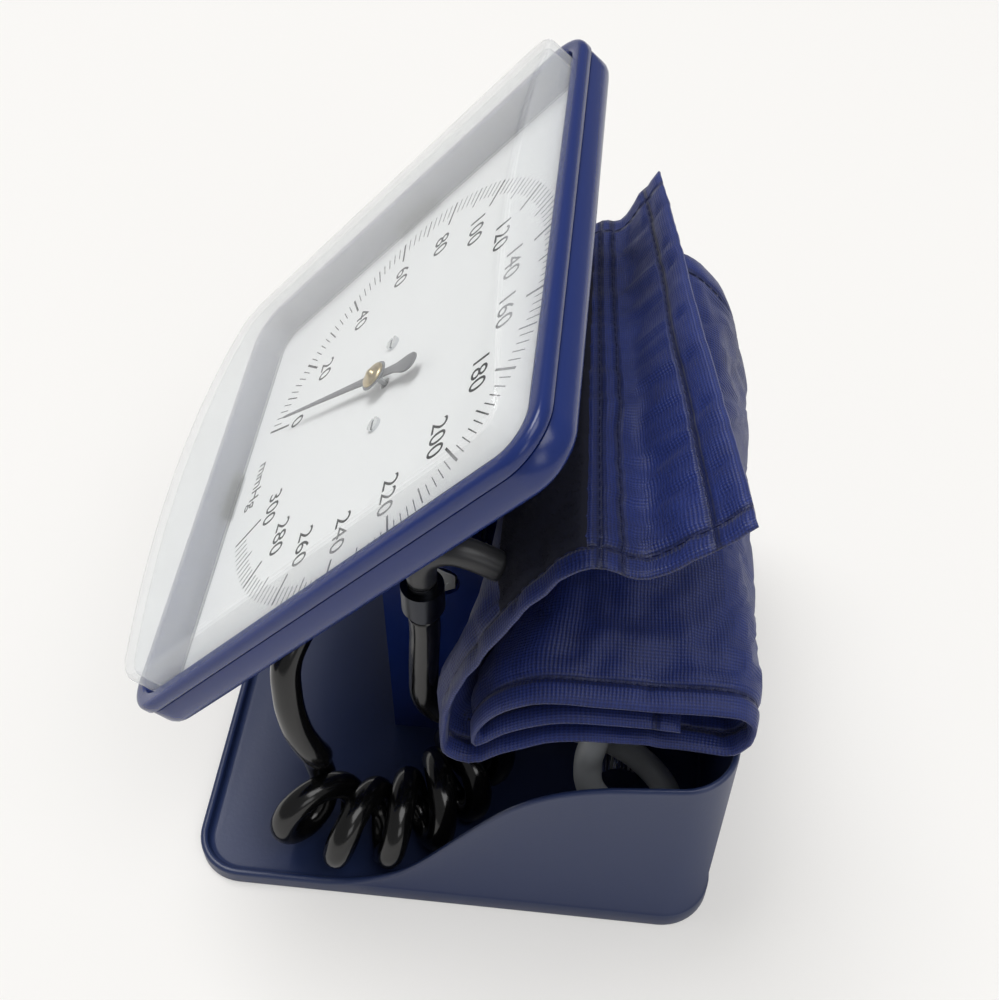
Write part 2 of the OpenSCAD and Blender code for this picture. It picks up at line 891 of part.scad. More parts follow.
module pointer() {
    color("#3b3a38")
    in_head()
        rotate([0, 0, 90 - (180 + (360 - sweep) / 2)])
            translate([0, 0, pointer_n])
                difference() {
                    linear_extrude(pointer_t)
                        union() {
                            // needle
                            polygon([[0, -1.5], [pointer_len * 0.55, -0.8], [pointer_len, -0.15],
                                [pointer_len, 0.15], [pointer_len * 0.55, 0.8], [0, 1.5]]);
                            circle(r = hub_d / 2 - 0.4);
                            // spade-shaped counterweight
                            polygon([[0, 1.6], [-tail_len * 0.45, 1.4], [-tail_len * 0.6, 2.8],
                                [-tail_len * 0.88, 3], [-tail_len, 1.4], [-tail_len, -1.4],
                                [-tail_len * 0.88, -3], [-tail_len * 0.6, -2.8],
                                [-tail_len * 0.45, -1.4], [0, -1.6]]);
                        }
                    translate([0, 0, -1])
                        cylinder(d = staff_d + 0.1, h = 3);
                }
}

module pointer_hub() {
    color(brass)
    in_head()
        translate([0, 0, pointer_n + pointer_t])
            rotate_extrude()
                polygon([[0, 0], [hub_d / 2, 0], [hub_d / 2, 0.8], [hub_d / 2 - 0.5, 1.3],
                    [hub_d / 2 - 1.6, 1.6], [1.2, 1.8], [1.2, 2.4], [0, 2.4]]);
}

// ---- Air inlet -------------------------------------------------------------------------

module at_nipple() {
    translate([0, 0, nipple_n])
        rotate([0, 0, nipple_angle])
            rotate([0, 90, 0])
                translate([0, 0, cover_d / 2])
                    children();
}

module inlet_nipple() {
    color(brass)
    in_head()
        at_nipple() {
            translate([0, 0, -5])
                cylinder(d = nipple_d, h = 5 + eps);
            cylinder(d = 9 / cos(30), h = 3, $fn = 6);
            cylinder(d = hose_d - 1, h = nipple_out);
        }
}

module pressure_tube() {
    inner_r = cover_d / 2 - 5.2;
    mid_n = (capsule_front + capsule_back) / 2;
    color(brass)
    in_head()
        tube_along(spline([
            [inner_r * cos(nipple_angle), inner_r * sin(nipple_angle), nipple_n],
            [(inner_r - 2.2) * cos(nipple_angle), (inner_r - 2.2) * sin(nipple_angle), nipple_n],
            [22, -21.5, (nipple_n + mid_n) / 2],
            [capsule_d / 2 + 4, capsule_u - 1.2, mid_n],
            [capsule_d / 2 + 0.5, capsule_u, mid_n]], 2), 1.1, 8);
}

// ---- Tubes and curves --------------------------------------------------------------------

function unit(v) = v / norm(v);

// Catmull-Rom curve through the points p, with n steps between each pair.
function pick(p, i) = p[min(max(i, 0), len(p) - 1)];
function curve_at(p, i, t) =
    let (a = pick(p, i - 1), b = p[i], c = pick(p, i + 1), d = pick(p, i + 2))
    0.5 * (2 * b + (c - a) * t + (2 * a - 5 * b + 4 * c - d) * t * t
        + (3 * b - a - 3 * c + d) * t * t * t);
function spline(p, n) = concat(
    [for (i = [0:len(p) - 2]) for (k = [0:n - 1]) curve_at(p, i, k / n)],
    [p[len(p) - 1]]);

function tangents(p) = [for (i = [0:len(p) - 1])
    unit(p[min(i + 1, len(p) - 1)] - p[max(i - 1, 0)])];
// Normals carried along the path with no twist.
function normals(t) = [
    for (i = 0, n = unit(cross(t[0], abs(t[0][2]) < 0.9 ? [0, 0, 1] : [1, 0, 0]));
        i < len(t);
        i = i + 1, n = i < len(t) ? unit(n - (n * t[i]) * t[i]) : n)
        n];

// Round tube of radius r and so many sides along a path.
module tube_along(path, r, sides) {
    t = tangents(path);
    nrm = normals(t);
    rings = len(path);
    points = [for (i = [0:rings - 1])
        for (k = [0:sides - 1])
            let (a = 360 * k / sides)
            path[i] + r * (cos(a) * nrm[i] + sin(a) * cross(t[i], nrm[i]))];
    walls = [for (i = [0:rings - 2])
        for (k = [0:sides - 1])
            let (a = i * sides + k, b = i * sides + (k + 1) % sides)
            each [[a, a + sides, b], [b, a + sides, b + sides]]];
    caps = [for (k = [1:sides - 2])
        each [[0, k, k + 1],
            [(rings - 1) * sides, (rings - 1) * sides + k + 1, (rings - 1) * sides + k]]];
    polyhedron(points, concat(walls, caps), convexity = 10);
}

// ---- Coiled hose -----------------------------------------------------------------------

// Middle line of the hose's two straight leads, and one mark for each curl between them:
// [x, y, z, heading of the curl's axis from +X, tip of the axis upwards]. Points by hand.
nipple_out = 5.2;
nipple_dir = [cos(nipple_angle), sin(nipple_angle) * sin(lean), sin(nipple_angle) * cos(lean)];
nipple_end = [
    (cover_d / 2 + nipple_out) * cos(nipple_angle),
    head_y + (cover_d / 2 + nipple_out) * sin(nipple_angle) * sin(lean) - nipple_n * cos(lean),
    head_z + (cover_d / 2 + nipple_out) * sin(nipple_angle) * cos(lean) + nipple_n * sin(lean)];
lead_down = [
    nipple_end + 0.3 * nipple_dir,
    nipple_end + 5 * nipple_dir,
    nipple_end + hose_d * nipple_dir,
    nipple_end + 1.7 * hose_d * nipple_dir + [1, 0, -1],
    [56, -44, 92],
    [61, -44.5, 80],
    [63, -43, 67],
    [62.5, -40.5, 56],
    [59.5, -39.5, 47],
    [54.5, -41.5, 38.5],
    [50.5, -43.5, 30]];
curl_marks = [
    [58, -50, 20.2, 40, 22],
    [64.5, -37, 18.7, 63, 5],
    [65, -24, 18.7, 85, 0],
    [60, -12, 18.7, 104, 0],
    [51, -2.5, 18.7, 121, 0],
    [40, 2.5, 18.7, 138, 0],
    [29, 5, 18.7, 155, 0]];
lead_up = [
    [38.5, 12.5, 28.5],
    [39, 9, 38],
    [42.5, 2, 48],
    [47, -5, 59],
    [50, -8, 70],
    [50, -8, 82],
    [50, -7.5, 92],
    [50, -7, 101],
    [50, -7, 109]];
rings_per_curl = 8;
coil_rings = 44;
first_phase = 180;

function mark_at(s) = let (i = min(floor(s), len(curl_marks) - 2)) curve_at(curl_marks, i, s - i);
coil_path = [for (k = [0:coil_rings])
    let (m = mark_at(k / rings_per_curl),
        a = first_phase + 360 * k / rings_per_curl,
        side = [sin(m[3]), -cos(m[3]), 0],
        ahead = [cos(m[4]) * cos(m[3]), cos(m[4]) * sin(m[3]), sin(m[4])])
    [m[0], m[1], m[2]] + curl_r * (cos(a) * side + sin(a) * cross(side, ahead))];
hose_path = concat(lead_down, coil_path, lead_up);

function run_to(p) = [for (i = 0, s = 0; i < len(p); s = s + norm(p[min(i + 1, len(p) - 1)] - p[i]), i = i + 1) s];
function path_length(p) = let (s = run_to(p)) s[len(s) - 1];
fine_path = spline(hose_path, 3);
fine_run = run_to(fine_path);
gaps = [for (i = [0:2:len(fine_path) - 1])
    for (j = [i + 1:len(fine_path) - 1])
        if (fine_run[j] - fine_run[i] > 3 * hose_d)
            [norm(fine_path[i] - fine_path[j]) - hose_d, i / 3, j / 3]];
least_gap = min([for (g = gaps) g[0]]);
echo("hose length", path_length(fine_path), "rings", len(hose_path));
echo("least gap of the hose to itself", [for (g = gaps) if (g[0] < least_gap + 0.01) g]);
echo("hose's lowest point", min([for (p = fine_path) p[2]]) - hose_d / 2, "floor", floor_top);
echo("hose's widest x", max([for (p = fine_path) p[0]]) + hose_d / 2, "wall", tray_w / 2 - tray_wall);

module coiled_hose() {
    color(black)
    tube_along(hose_path, hose_d / 2, 6);
}

module hose_collar() {
    color(steel)
    in_head()
        at_nipple()
            translate([0, 0, nipple_out + 3])
                difference() {
                    cylinder(d = hose_d + 2.4, h = 4);
                    translate([0, 0, -1])
                        cylinder(d = hose_d + 0.1, h = 6);
                }
}

// ---- Cuff ------------------------------------------------------------------------------

// The cuff lies rolled, with its axis along X. Each list is the middle line of the cloth as
// [y, z] on one side of the cuff, from the end inside the roll to the free end on top.
near_line = [
    [62, 94], [46, 94.5], [30, 93], [17, 86], [9, 78], [8.5, 84], [14, 94], [25, 101.5],
    [40, 102.5], [56, 102.5], [70, 103], [78, 101], [80.5, 94], [76.5, 85.3], [62, 86],
    [46, 86.5], [30, 84.5], [17, 76.5], [8, 69], [0, 72], [-1, 84], [3, 100], [11, 120],
    [21, 138], [31, 150], [38, 152], [45, 148], [51, 147.5], [59, 155], [66, 161],
    [71, 166]];
far_line = [
    [62, 104], [46, 106], [30, 105], [18, 100], [10, 98], [11, 108], [17, 119], [26, 129],
    [38, 135], [48, 137], [58, 134.5], [67, 126], [75, 110], [78, 96], [70, 90],
    [48, 90], [32, 90], [18, 88], [9, 86], [2, 92], [1, 102], [4, 114], [10, 126],
    [18, 136], [26, 142], [31, 144], [36, 143.5], [39, 146], [42, 150], [45, 154],
    [48, 158]];
near_x = 70;
far_x = near_x - cuff_w;
flap_shift = -10;
cuff_steps = 2;
cuff_stations = 5;
near_cloth = spline(near_line, cuff_steps);
far_cloth = spline(far_line, cuff_steps);
cloth_n = len(near_cloth);
flap_from = 42;

function blend(a, b, w) = a + (b - a) * w;
function slide(i) = i < flap_from ? 0 : flap_shift * (i - flap_from) / (cloth_n - 1 - flap_from);

// Where the roll passes behind the neck, its front is pressed back.
neck_push = pivot_y + neck_r + cuff_t / 2 + 3.7;
function rest_on_neck(p, w) =
    let (x = near_x - cuff_w * w,
        beside = min(1, max(0, 1 - (abs(x) - neck_w / 2 - 5) / 32)),
        above = min(1, max(0, (128 - p[1]) / 24)))
    [p[0] + neck_push * beside * above * max(0, 1 - (p[0] + 1) / 40), p[1]];
function cloth_yz(i, w) = rest_on_neck(blend(near_cloth[i], far_cloth[i], w), w);
function cloth_normal(i, w) =
    let (d = cloth_yz(min(i + 1, cloth_n - 1), w) - cloth_yz(max(i - 1, 0), w))
    [-d[1], d[0]] / norm(d);

// A strip of the cloth from step i0 to step i1, between x0 and x1, from offset d0 to d1.
module cloth_strip(i0, i1, x0, x1, d0, d1, stations) {
    rings = i1 - i0 + 1;
    row = 2 * rings;
    points = [for (s = [0:stations])
        let (x = blend(x0, x1, s / stations), w = (near_x - x) / cuff_w)
        each concat(
            [for (i = [i0:i1])
                let (p = cloth_yz(i, w) + d1 * cloth_normal(i, w)) [x + slide(i), p[0], p[1]]],
            [for (i = [i1:-1:i0])
                let (p = cloth_yz(i, w) + d0 * cloth_normal(i, w)) [x + slide(i), p[0], p[1]]])];
    walls = [for (s = [0:stations - 1])
        for (k = [0:row - 1])
            let (a = s * row + k, b = s * row + (k + 1) % row)
            each [[a, a + row, b], [b, a + row, b + row]]];
    caps = [for (k = [0:rings - 2])
        let (a = k, b = k + 1, c = row - 2 - k, d = row - 1 - k, e = stations * row)
        each [[a, b, c], [a, c, d], [e + a, e + c, e + b], [e + a, e + d, e + c]]];
    polyhedron(points, concat(walls, caps), convexity = 12);
}

bladder_from = 25;
bladder_to = 47;
bladder_t = 1.4;
bladder_inset = 12;

module cuff() {
    color(cloth_navy)
    difference() {
        cloth_strip(0, cloth_n - 1, near_x, far_x, -cuff_t / 2, cuff_t / 2, cuff_stations);
        // pocket between the two skins of the cloth, for the bladder
        cloth_strip(bladder_from - 1, bladder_to + 1, near_x - bladder_inset + 1,
            far_x + bladder_inset - 1, -bladder_t / 2 - 0.45, bladder_t / 2 + 0.45, cuff_stations);
        // holes where the bladder's two tubes come out
        tube_hole(tube_to_gauge_line);
        tube_hole(tube_to_bulb_line);
    }
}

module tube_hole(line) {
    back = unit(line[0] - line[1]);
    tube_along([line[0] - 0.2 * back, line[0] + (cuff_t / 2 + 0.2) * back], tube_d / 2 + 0.4, 10);
}

module bladder() {
    color("#2c2d30")
    cloth_strip(bladder_from, bladder_to, near_x - bladder_inset, far_x + bladder_inset,
        -bladder_t / 2, bladder_t / 2, cuff_stations);
}

module hook_tape() {
    color(black)
    cloth_strip(47, 50, near_x - 6, far_x + 6, cuff_t / 2 + 0.3, cuff_t / 2 + 1.5, cuff_stations);
}

// ---- Bladder tubes, bulb and valves ------------------------------------------------------

// The tube from the bladder that meets the coiled hose, in front of the roll.
tube_to_gauge_line = [
    [50, 13.2, 130.8], [50, 6.2, 134.6], [50, 0.5, 136], [50, -4.5, 133.8], [50, -6.8, 129],
    [50, -7, 123.3]];
connector_bottom = 109.3;
connector_top = 123;

// The bulb's axis lies this far behind the tray's centre.
bulb_y = tray_d / 2 - 30;

// The tube from the bladder to the bulb: down into the tray, round one spare loop, back up
// under the roll, and down again to the bulb's valve.
tube_to_bulb_line = [
    [56, 28.3, 80.9], [56, 32.3, 74], [53, 35, 65], [48, 39, 55], [44, 46, 45], [45, 56, 37],
    [52, 64, 33], [61, 64, 33.5], [66, 57, 37], [66, 48, 43], [64, 41, 51], [62, 39.5, 61],
    [61, 40.5, 70], [57, 42, 76], [50, 43.5, 78], [43, 45, 74.5], [37, 47, 65],
    [33, bulb_y - 1, 54], [31, bulb_y, 45], [31, bulb_y, 37.8]];

module cuff_tube_to_gauge() {
    color("#3c3d40")
    tube_along(spline(tube_to_gauge_line, 2), tube_d / 2, 10);
}

module cuff_tube_to_bulb() {
    color("#8f9294")
    tube_along(spline(tube_to_bulb_line, 2), tube_d / 2, 10);
}

module tube_connector() {
    color(steel)
    translate([50, -7, connector_bottom]) {
        cylinder(d = hose_d, h = 3);
        translate([0, 0, 3 - eps])
            cylinder(d = hose_d + 3, h = connector_top - connector_bottom - 5);
        translate([0, 0, 2])
            cylinder(d = tube_d, h = connector_top - connector_bottom - 2);
    }
}

// The bulb lies in the tray behind the neck, its release valve towards the coil.
bulb_x = -18;
bulb_wall = 2.5;
bulb_neck_d = 13;
bulb_z = floor_top + bulb_d / 2 + 0.3;
bulb_end = bulb_x + bulb_len / 2;
valve_x = 31;
plug_d = 8;

function bulb_radius(x, half, r) = r * pow(max(0, 1 - pow(abs(x) / half, 2.4)), 0.5);
function bulb_arc(half, r, least) = [for (i = [-12:12])
    let (x = half * sin(90 * i / 12)) if (bulb_radius(x, half, r) > least) [bulb_radius(x, half, r), x]];

module on_bulb_axis() {
    translate([bulb_x, bulb_y, bulb_z])
        rotate([0, 90, 0])
            children();
}

module bulb() {
    half = bulb_len / 2 - 1;
    outer = bulb_arc(half, bulb_d / 2, bulb_neck_d / 2 + 0.5);
    inner = bulb_arc(half - bulb_wall, bulb_d / 2 - bulb_wall, plug_d / 2 + 0.6);
    end = bulb_len / 2;
    bore = plug_d / 2 + 0.05;
    color("#202124")
    on_bulb_axis()
        rotate_extrude($fn = 64)
            polygon(concat(
                [[bore, -end], [bulb_neck_d / 2, -end]],
                outer,
                [[bulb_neck_d / 2, end], [bore, end]],
                [for (i = [len(inner) - 1:-1:0]) inner[i]]));
}

module intake_valve() {
    color(steel)
    on_bulb_axis()
        translate([0, 0, -bulb_len / 2])
            difference() {
                union() {
                    translate([0, 0, -4.3])
                        cylinder(d = 11, h = 4);
                    translate([0, 0, -1])
                        cylinder(d = plug_d, h = 9);
                }
                translate([0, 0, -5])
                    cylinder(d = 2.5, h = 16);
            }
}

valve_body_d = 11;
valve_bore = 4.1;
valve_len = valve_x - bulb_end + 8;

module release_valve() {
    color(steel)
    translate([0, bulb_y, bulb_z])
        difference() {
            union() {
                translate([bulb_end - 8, 0, 0])
                    rotate([0, 90, 0])
                        cylinder(d = plug_d, h = 9);
                translate([bulb_end + 0.3, 0, 0])
                    rotate([0, 90, 0])
                        cylinder(d = valve_body_d, h = valve_len);
                // spigot for the tube
                translate([valve_x, 0, 0])
                    cylinder(d = 6, h = 11.2);
                translate([valve_x, 0, 0])
                    cylinder(d = 8.6, h = 8);
            }
            // bore for the screw, and the air's way through
            translate([valve_x - 2, 0, 0])
                rotate([0, 90, 0])
                    cylinder(d = valve_bore, h = valve_len);
            translate([bulb_end - 10, 0, 0])
                rotate([0, 90, 0])
                    cylinder(d = 2.5, h = 12 + valve_x - bulb_end);
            translate([valve_x, 0, 0])
                cylinder(d = 2.5, h = 14);
        }
}

module valve_screw() {
    tip_x = valve_x + 1.5;
    end_x = bulb_end + 0.3 + valve_len;
    ridges = 24;
    color(steel)
    translate([0, bulb_y, bulb_z]) {
        translate([tip_x, 0, 0])
            rotate([0, 90, 0])
                cylinder(d = valve_bore - 0.1, h = end_x - tip_x + 1);
        translate([end_x + 0.5, 0, 0])
            rotate([0, 90, 0])
                linear_extrude(6)
                    polygon([for (i = [0:2 * ridges - 1])
                        (6 - 0.4 * (i % 2)) * [cos(180 * i / ridges), sin(180 * i / ridges)]]);
    }
}

tray();
neck();
neck_screws();
hinge_bolt();
hinge_nut();
friction_washers();
bezel();
back_housing();
movement_cover();
cover_screws();
lens();
lens_clips();
dial_plate();
dial_screws();
works_base_plate();
works_pillars();
works_bridge();
bridge_screws();
pressure_capsule();
capsule_pusher();
rocker();
rocker_stand();
sector_gear();
pointer_staff();
hairspring();
pointer();
pointer_hub();
inlet_nipple();
pressure_tube();
coiled_hose();
hose_collar();
cuff();
bladder();
hook_tape();
cuff_tube_to_gauge();
cuff_tube_to_bulb();
tube_connector();
bulb();
intake_valve();
release_valve();
valve_screw();
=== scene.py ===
# %% [markdown]
# # Desk blood-pressure gauge, aneroid, in its storage tray
# A square dial head tilts on a neck that rises from a tray. A coiled hose lies in the tray, and
# an arm cuff is rolled behind the head. This script gives them their looks: it paints them, and
# puts a finer surface over those that need one. Lengths below are in millimetres, `piece` turns
# them into metres, +Z is up and -Y is the front.

import math

import bmesh
import bpy
import numpy as np
from mathutils import Matrix, Vector, noise


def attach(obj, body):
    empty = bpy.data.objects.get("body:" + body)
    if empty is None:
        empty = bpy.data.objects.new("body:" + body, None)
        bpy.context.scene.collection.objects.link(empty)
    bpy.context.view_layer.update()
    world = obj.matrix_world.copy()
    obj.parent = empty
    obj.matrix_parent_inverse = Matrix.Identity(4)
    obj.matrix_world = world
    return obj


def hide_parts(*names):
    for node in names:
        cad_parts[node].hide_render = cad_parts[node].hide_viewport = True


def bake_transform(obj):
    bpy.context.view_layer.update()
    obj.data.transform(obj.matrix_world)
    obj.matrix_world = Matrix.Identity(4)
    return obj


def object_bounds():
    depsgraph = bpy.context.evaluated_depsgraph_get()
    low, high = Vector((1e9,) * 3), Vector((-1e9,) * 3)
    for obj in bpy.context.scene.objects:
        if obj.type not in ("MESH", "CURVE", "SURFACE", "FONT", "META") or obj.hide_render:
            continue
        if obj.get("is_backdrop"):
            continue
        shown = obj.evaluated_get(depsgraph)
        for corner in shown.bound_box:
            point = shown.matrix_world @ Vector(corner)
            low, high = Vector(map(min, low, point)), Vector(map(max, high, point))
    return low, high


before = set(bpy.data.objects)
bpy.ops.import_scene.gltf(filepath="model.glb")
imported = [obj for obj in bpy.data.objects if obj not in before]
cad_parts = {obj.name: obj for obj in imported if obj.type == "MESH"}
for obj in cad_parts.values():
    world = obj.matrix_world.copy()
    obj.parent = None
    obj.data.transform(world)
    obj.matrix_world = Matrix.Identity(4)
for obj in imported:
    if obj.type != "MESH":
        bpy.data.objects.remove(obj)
low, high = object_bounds()
print("frame loaded:", len(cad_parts), "nodes, box", [round(c, 4) for c in high])

# %% [markdown]
# ## Helpers
# The dial head leans back by 42 degrees, so its pieces are drawn flat, in its own directions: x
# across the dial, u up it and n out of it. `head` turns such points into the world's. Doing that
# in one place is simpler than turning each object, and leaves every object at the origin.

# %% Directions of the dial head
LEAN = math.radians(42)
UP_DIAL = np.array([0.0, math.sin(LEAN), math.cos(LEAN)])
OUT_DIAL = np.array([0.0, -math.cos(LEAN), math.sin(LEAN)])
PIVOT = np.array([0.0, -8.0, 84.0])
PIVOT_TO_RIM = (33.5, 60.0)
HEAD_O = PIVOT + PIVOT_TO_RIM[0] * UP_DIAL + PIVOT_TO_RIM[1] * OUT_DIAL


def head(x, u, n):
    """World point of (x across the dial, u up the dial, n out of it): origin + x X + u U + n N."""
    x, u, n = np.broadcast_arrays(np.asarray(x, float), u, n)
    return (HEAD_O + x[..., None] * np.array([1.0, 0, 0]) + u[..., None] * UP_DIAL
            + n[..., None] * OUT_DIAL)


def on_head(pts):
    """Head-frame points (x, u, n) as world points."""
    pts = np.asarray(pts, float)
    return head(pts[:, 0], pts[:, 1], pts[:, 2])


print("the dial's middle, on its rim, is at", HEAD_O.round(1))

# %% [markdown]
# A mesh is a list of points and a list of faces that name them. `piece` makes one, smooths it,
# hangs it on the body that carries it, and says which node of the construction it replaces.
# `sealed` joins points that meet and turns all faces outwards, which a light needs to shade a
# shape correctly.

# %% Meshes


def piece(name, verts, faces, material, body, smooth=True, stands_for=(), uv=None):
    """Adds a mesh from points in mm and lists of corner numbers, on one moving body."""
    mesh = bpy.data.meshes.new(name)
    mesh.from_pydata((np.asarray(verts, float) / 1000).tolist(), [], [tuple(f) for f in faces])
    mesh.validate()
    mesh.update()
    mesh.polygons.foreach_set("use_smooth", [smooth] * len(mesh.polygons))
    if uv is not None:
        layer = mesh.uv_layers.new(name="UVMap")
        corners = np.empty(len(mesh.loops), int)
        mesh.loops.foreach_get("vertex_index", corners)
        layer.data.foreach_set("uv", np.asarray(uv, float)[corners].ravel())
    ob = bpy.data.objects.new(name, mesh)
    bpy.context.scene.collection.objects.link(ob)
    ob.data.materials.append(material)
    if body:
        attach(ob, body)
    if stands_for:
        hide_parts(*stands_for)
    return ob


def sealed(ob, gap=0.00001):
    """Joins points that meet and turns every face outwards."""
    bm = bmesh.new()
    bm.from_mesh(ob.data)
    if gap:
        bmesh.ops.remove_doubles(bm, verts=bm.verts, dist=gap)
    bmesh.ops.recalc_face_normals(bm, faces=bm.faces)
    bm.to_mesh(ob.data)
    bm.free()


def grid_faces(rows, cols, close_rows=False, close_cols=False):
    """Quads of a rows x cols grid of points, joined end to end where asked."""
    r = np.arange(rows if close_rows else rows - 1)
    c = np.arange(cols if close_cols else cols - 1)
    r, c = [a.ravel() for a in np.meshgrid(r, c, indexing="ij")]
    r2, c2 = (r + 1) % rows, (c + 1) % cols
    return np.stack([r * cols + c, r * cols + c2, r2 * cols + c2, r2 * cols + c], 1).tolist()


def join(*parts):
    """Several (points, faces) as one."""
    pts, faces, at = [], [], 0
    for p, f in parts:
        pts.append(np.asarray(p, float))
        faces += [[i + at for i in q] for q in f]
        at += len(p)
    return np.concatenate(pts), faces


print("mesh helpers ready")

# %% [markdown]
# Most pieces here are a profile carried along a path: round a rounded rectangle, round an axis,
# or along a bent line. The line is given by a few listed points, and a Catmull-Rom curve
# passes through all of them, which is easier to match to a photo than Bezier handles.

# %% Outlines, lines, tubes and turned pieces


def plan(w, d, r, n=10):
    """Rounded rectangle, counter-clockwise: corner centre + r (cos a, sin a)."""
    corners = []
    for sx, sy, a0 in ((1, 1, 0), (-1, 1, 90), (-1, -1, 180), (1, -1, 270)):
        a = np.radians(np.linspace(a0, a0 + 90, n + 1))
        corners.append(np.c_[sx * (w / 2 - r) + r * np.cos(a), sy * (d / 2 - r) + r * np.sin(a)])
    return np.concatenate(corners)


def framed(w, h, r, profile, n=10, closed=True):
    """Points of a profile [(inset, height)] carried round a rounded rectangle, and its faces."""
    rings = [np.c_[plan(w - 2 * i, h - 2 * i, max(r - i, 0.4), n), np.full(4 * (n + 1), z)]
             for i, z in profile]
    return np.concatenate(rings), grid_faces(len(profile), 4 * (n + 1), closed, True)


def catmull(points, n):
    """Catmull-Rom curve through the points: 0.5(2b + (c-a)t + (2a-5b+4c-d)t2 + (3b-a-3c+d)t3)."""
    p = np.asarray(points, float)
    last = len(p) - 1
    t = (np.arange(n) / n)[:, None]
    out = []
    for i in range(last):
        a, b, c, d = p[max(i - 1, 0)], p[i], p[i + 1], p[min(i + 2, last)]
        out.append(0.5 * (2 * b + (c - a) * t + (2 * a - 5 * b + 4 * c - d) * t**2
                          + (3 * b - a - 3 * c + d) * t**3))
    return np.concatenate(out + [p[-1:]])


def distances(line):
    """Distance of each point of a line from its first, measured along it."""
    return np.r_[0, np.cumsum(np.linalg.norm(np.diff(line, axis=0), axis=1))]


def even(path, step):
    """The same line with its points a steady distance apart."""
    s = distances(path)
    t = np.linspace(0, s[-1], max(2, int(round(s[-1] / step)) + 1))
    return np.stack([np.interp(t, s, path[:, k]) for k in range(path.shape[1])], 1)


def tube(path, radius, sides=16):
    """Round tube along a line; each ring is the last one turned by the least angle."""
    p = np.asarray(path, float)
    t = np.gradient(p, axis=0)
    t /= np.linalg.norm(t, axis=1)[:, None]
    ref = np.array([0, 0, 1.0]) if abs(t[0][2]) < 0.9 else np.array([1.0, 0, 0])
    across = np.cross(t[0], ref)
    a = np.linspace(0, 2 * math.pi, sides, endpoint=False)[:, None]
    rings = []
    for centre, along in zip(p, t):
        across = across - (across @ along) * along
        across /= np.linalg.norm(across)
        rings.append(centre + radius * (np.cos(a) * across + np.sin(a) * np.cross(along, across)))
    pts = np.concatenate(rings)
    faces = grid_faces(len(p), sides, False, True)
    faces += [list(range(sides))[::-1], list(range(len(pts) - sides, len(pts)))]
    return pts, [f[::-1] for f in faces]


def lathe(profile, n=48):
    """Profile [(radius, height)] turned round the z axis; ends with radius 0 close to a point."""
    a = np.linspace(0, 2 * math.pi, n, endpoint=False)
    pts = np.concatenate([np.c_[r * np.cos(a), r * np.sin(a), np.full(n, z)]
                          for r, z in profile])
    faces = grid_faces(len(profile), n, False, True)
    if profile[0][0] > 0:
        faces.append(list(range(n))[::-1])
    if profile[-1][0] > 0:
        faces.append(list(range(len(pts) - n, len(pts))))
    return pts, faces


print("shape helpers ready")

# %% [markdown]
# A material is a graph of nodes. One function adds any kind of node with its settings, and links
# or sets its inputs. Colours are written as on screen, in sRGB, and Blender counts in linear
# light, so `lin` turns one into the other.

# %% Colours and nodes


def lin(hexa):
    """Linear RGBA of an sRGB hex colour: c/12.92 below 0.04045, else ((c+0.055)/1.055)^2.4."""
    c = [int(hexa[i:i + 2], 16) / 255 for i in (1, 3, 5)]
    return [v / 12.92 if v <= 0.04045 else ((v + 0.055) / 1.055) ** 2.4 for v in c] + [1.0]


def node(owner, kind, inputs=None, **settings):
    """Adds a shader node to a material or world; each input is a value or another's output."""
    new = owner.node_tree.nodes.new("ShaderNode" + kind)
    for key, value in settings.items():
        setattr(new, key, value)
    for key, value in (inputs or {}).items():
        if isinstance(value, bpy.types.NodeSocket):
            owner.node_tree.links.new(value, new.inputs[key])
        else:
            new.inputs[key].default_value = value
    return new


def surface(mat, shader):
    """Makes a shader node the surface of the material."""
    out = mat.node_tree.nodes["Material Output"]
    mat.node_tree.links.new(shader.outputs[0], out.inputs["Surface"])


print("node helpers ready")

# %% [markdown]
# ## Camera, light and floor
# The photo was taken from the object's right and above, and shows it lying on white paper. The
# camera's place was solved from the dial's square and the tray's straight edges, so the render
# can be laid over the photo. It could also be set by eye, but a solved one shows which
# sizes are wrong. The turn is built from three directions: ahead, right and above.

# %% The camera
scene = bpy.context.scene
cam = bpy.data.objects.new("camera", bpy.data.cameras.new("camera"))
scene.collection.objects.link(cam)
scene.camera = cam
AZIMUTH, ELEVATION, ROLL = math.radians(6.21), math.radians(47.88), math.radians(-0.03)
CAMERA_AT = (0.2554, 0.03265, 0.3891)
FOCAL_PX, CENTRE_PX, FRAME_PX = 1320.4, (489.2, 486.3), (999, 1000)
SENSOR = 36
ahead = np.array([-math.cos(ELEVATION) * math.cos(AZIMUTH),
                  -math.cos(ELEVATION) * math.sin(AZIMUTH), -math.sin(ELEVATION)])
right = np.cross(ahead, [0, 0, 1.0])
right /= np.linalg.norm(right)
above = np.cross(right, ahead)
right, above = (math.cos(ROLL) * right + math.sin(ROLL) * above,
                math.cos(ROLL) * above - math.sin(ROLL) * right)
turn = Matrix([[right[k], above[k], -ahead[k]] for k in range(3)])
cam.matrix_world = Matrix.Translation(CAMERA_AT) @ turn.to_4x4()
cam.data.sensor_width = SENSOR
cam.data.lens = FOCAL_PX * SENSOR / 1000
cam.data.shift_x = (FRAME_PX[0] / 2 - CENTRE_PX[0]) / 1000
cam.data.shift_y = -(FRAME_PX[1] / 2 - CENTRE_PX[1]) / 1000
cam.data.clip_start, cam.data.clip_end = 0.01, 20
scene.render.resolution_x, scene.render.resolution_y = FRAME_PX
scene.view_settings.view_transform = "Standard"
scene.render.film_transparent = False
print("camera at", CAMERA_AT)

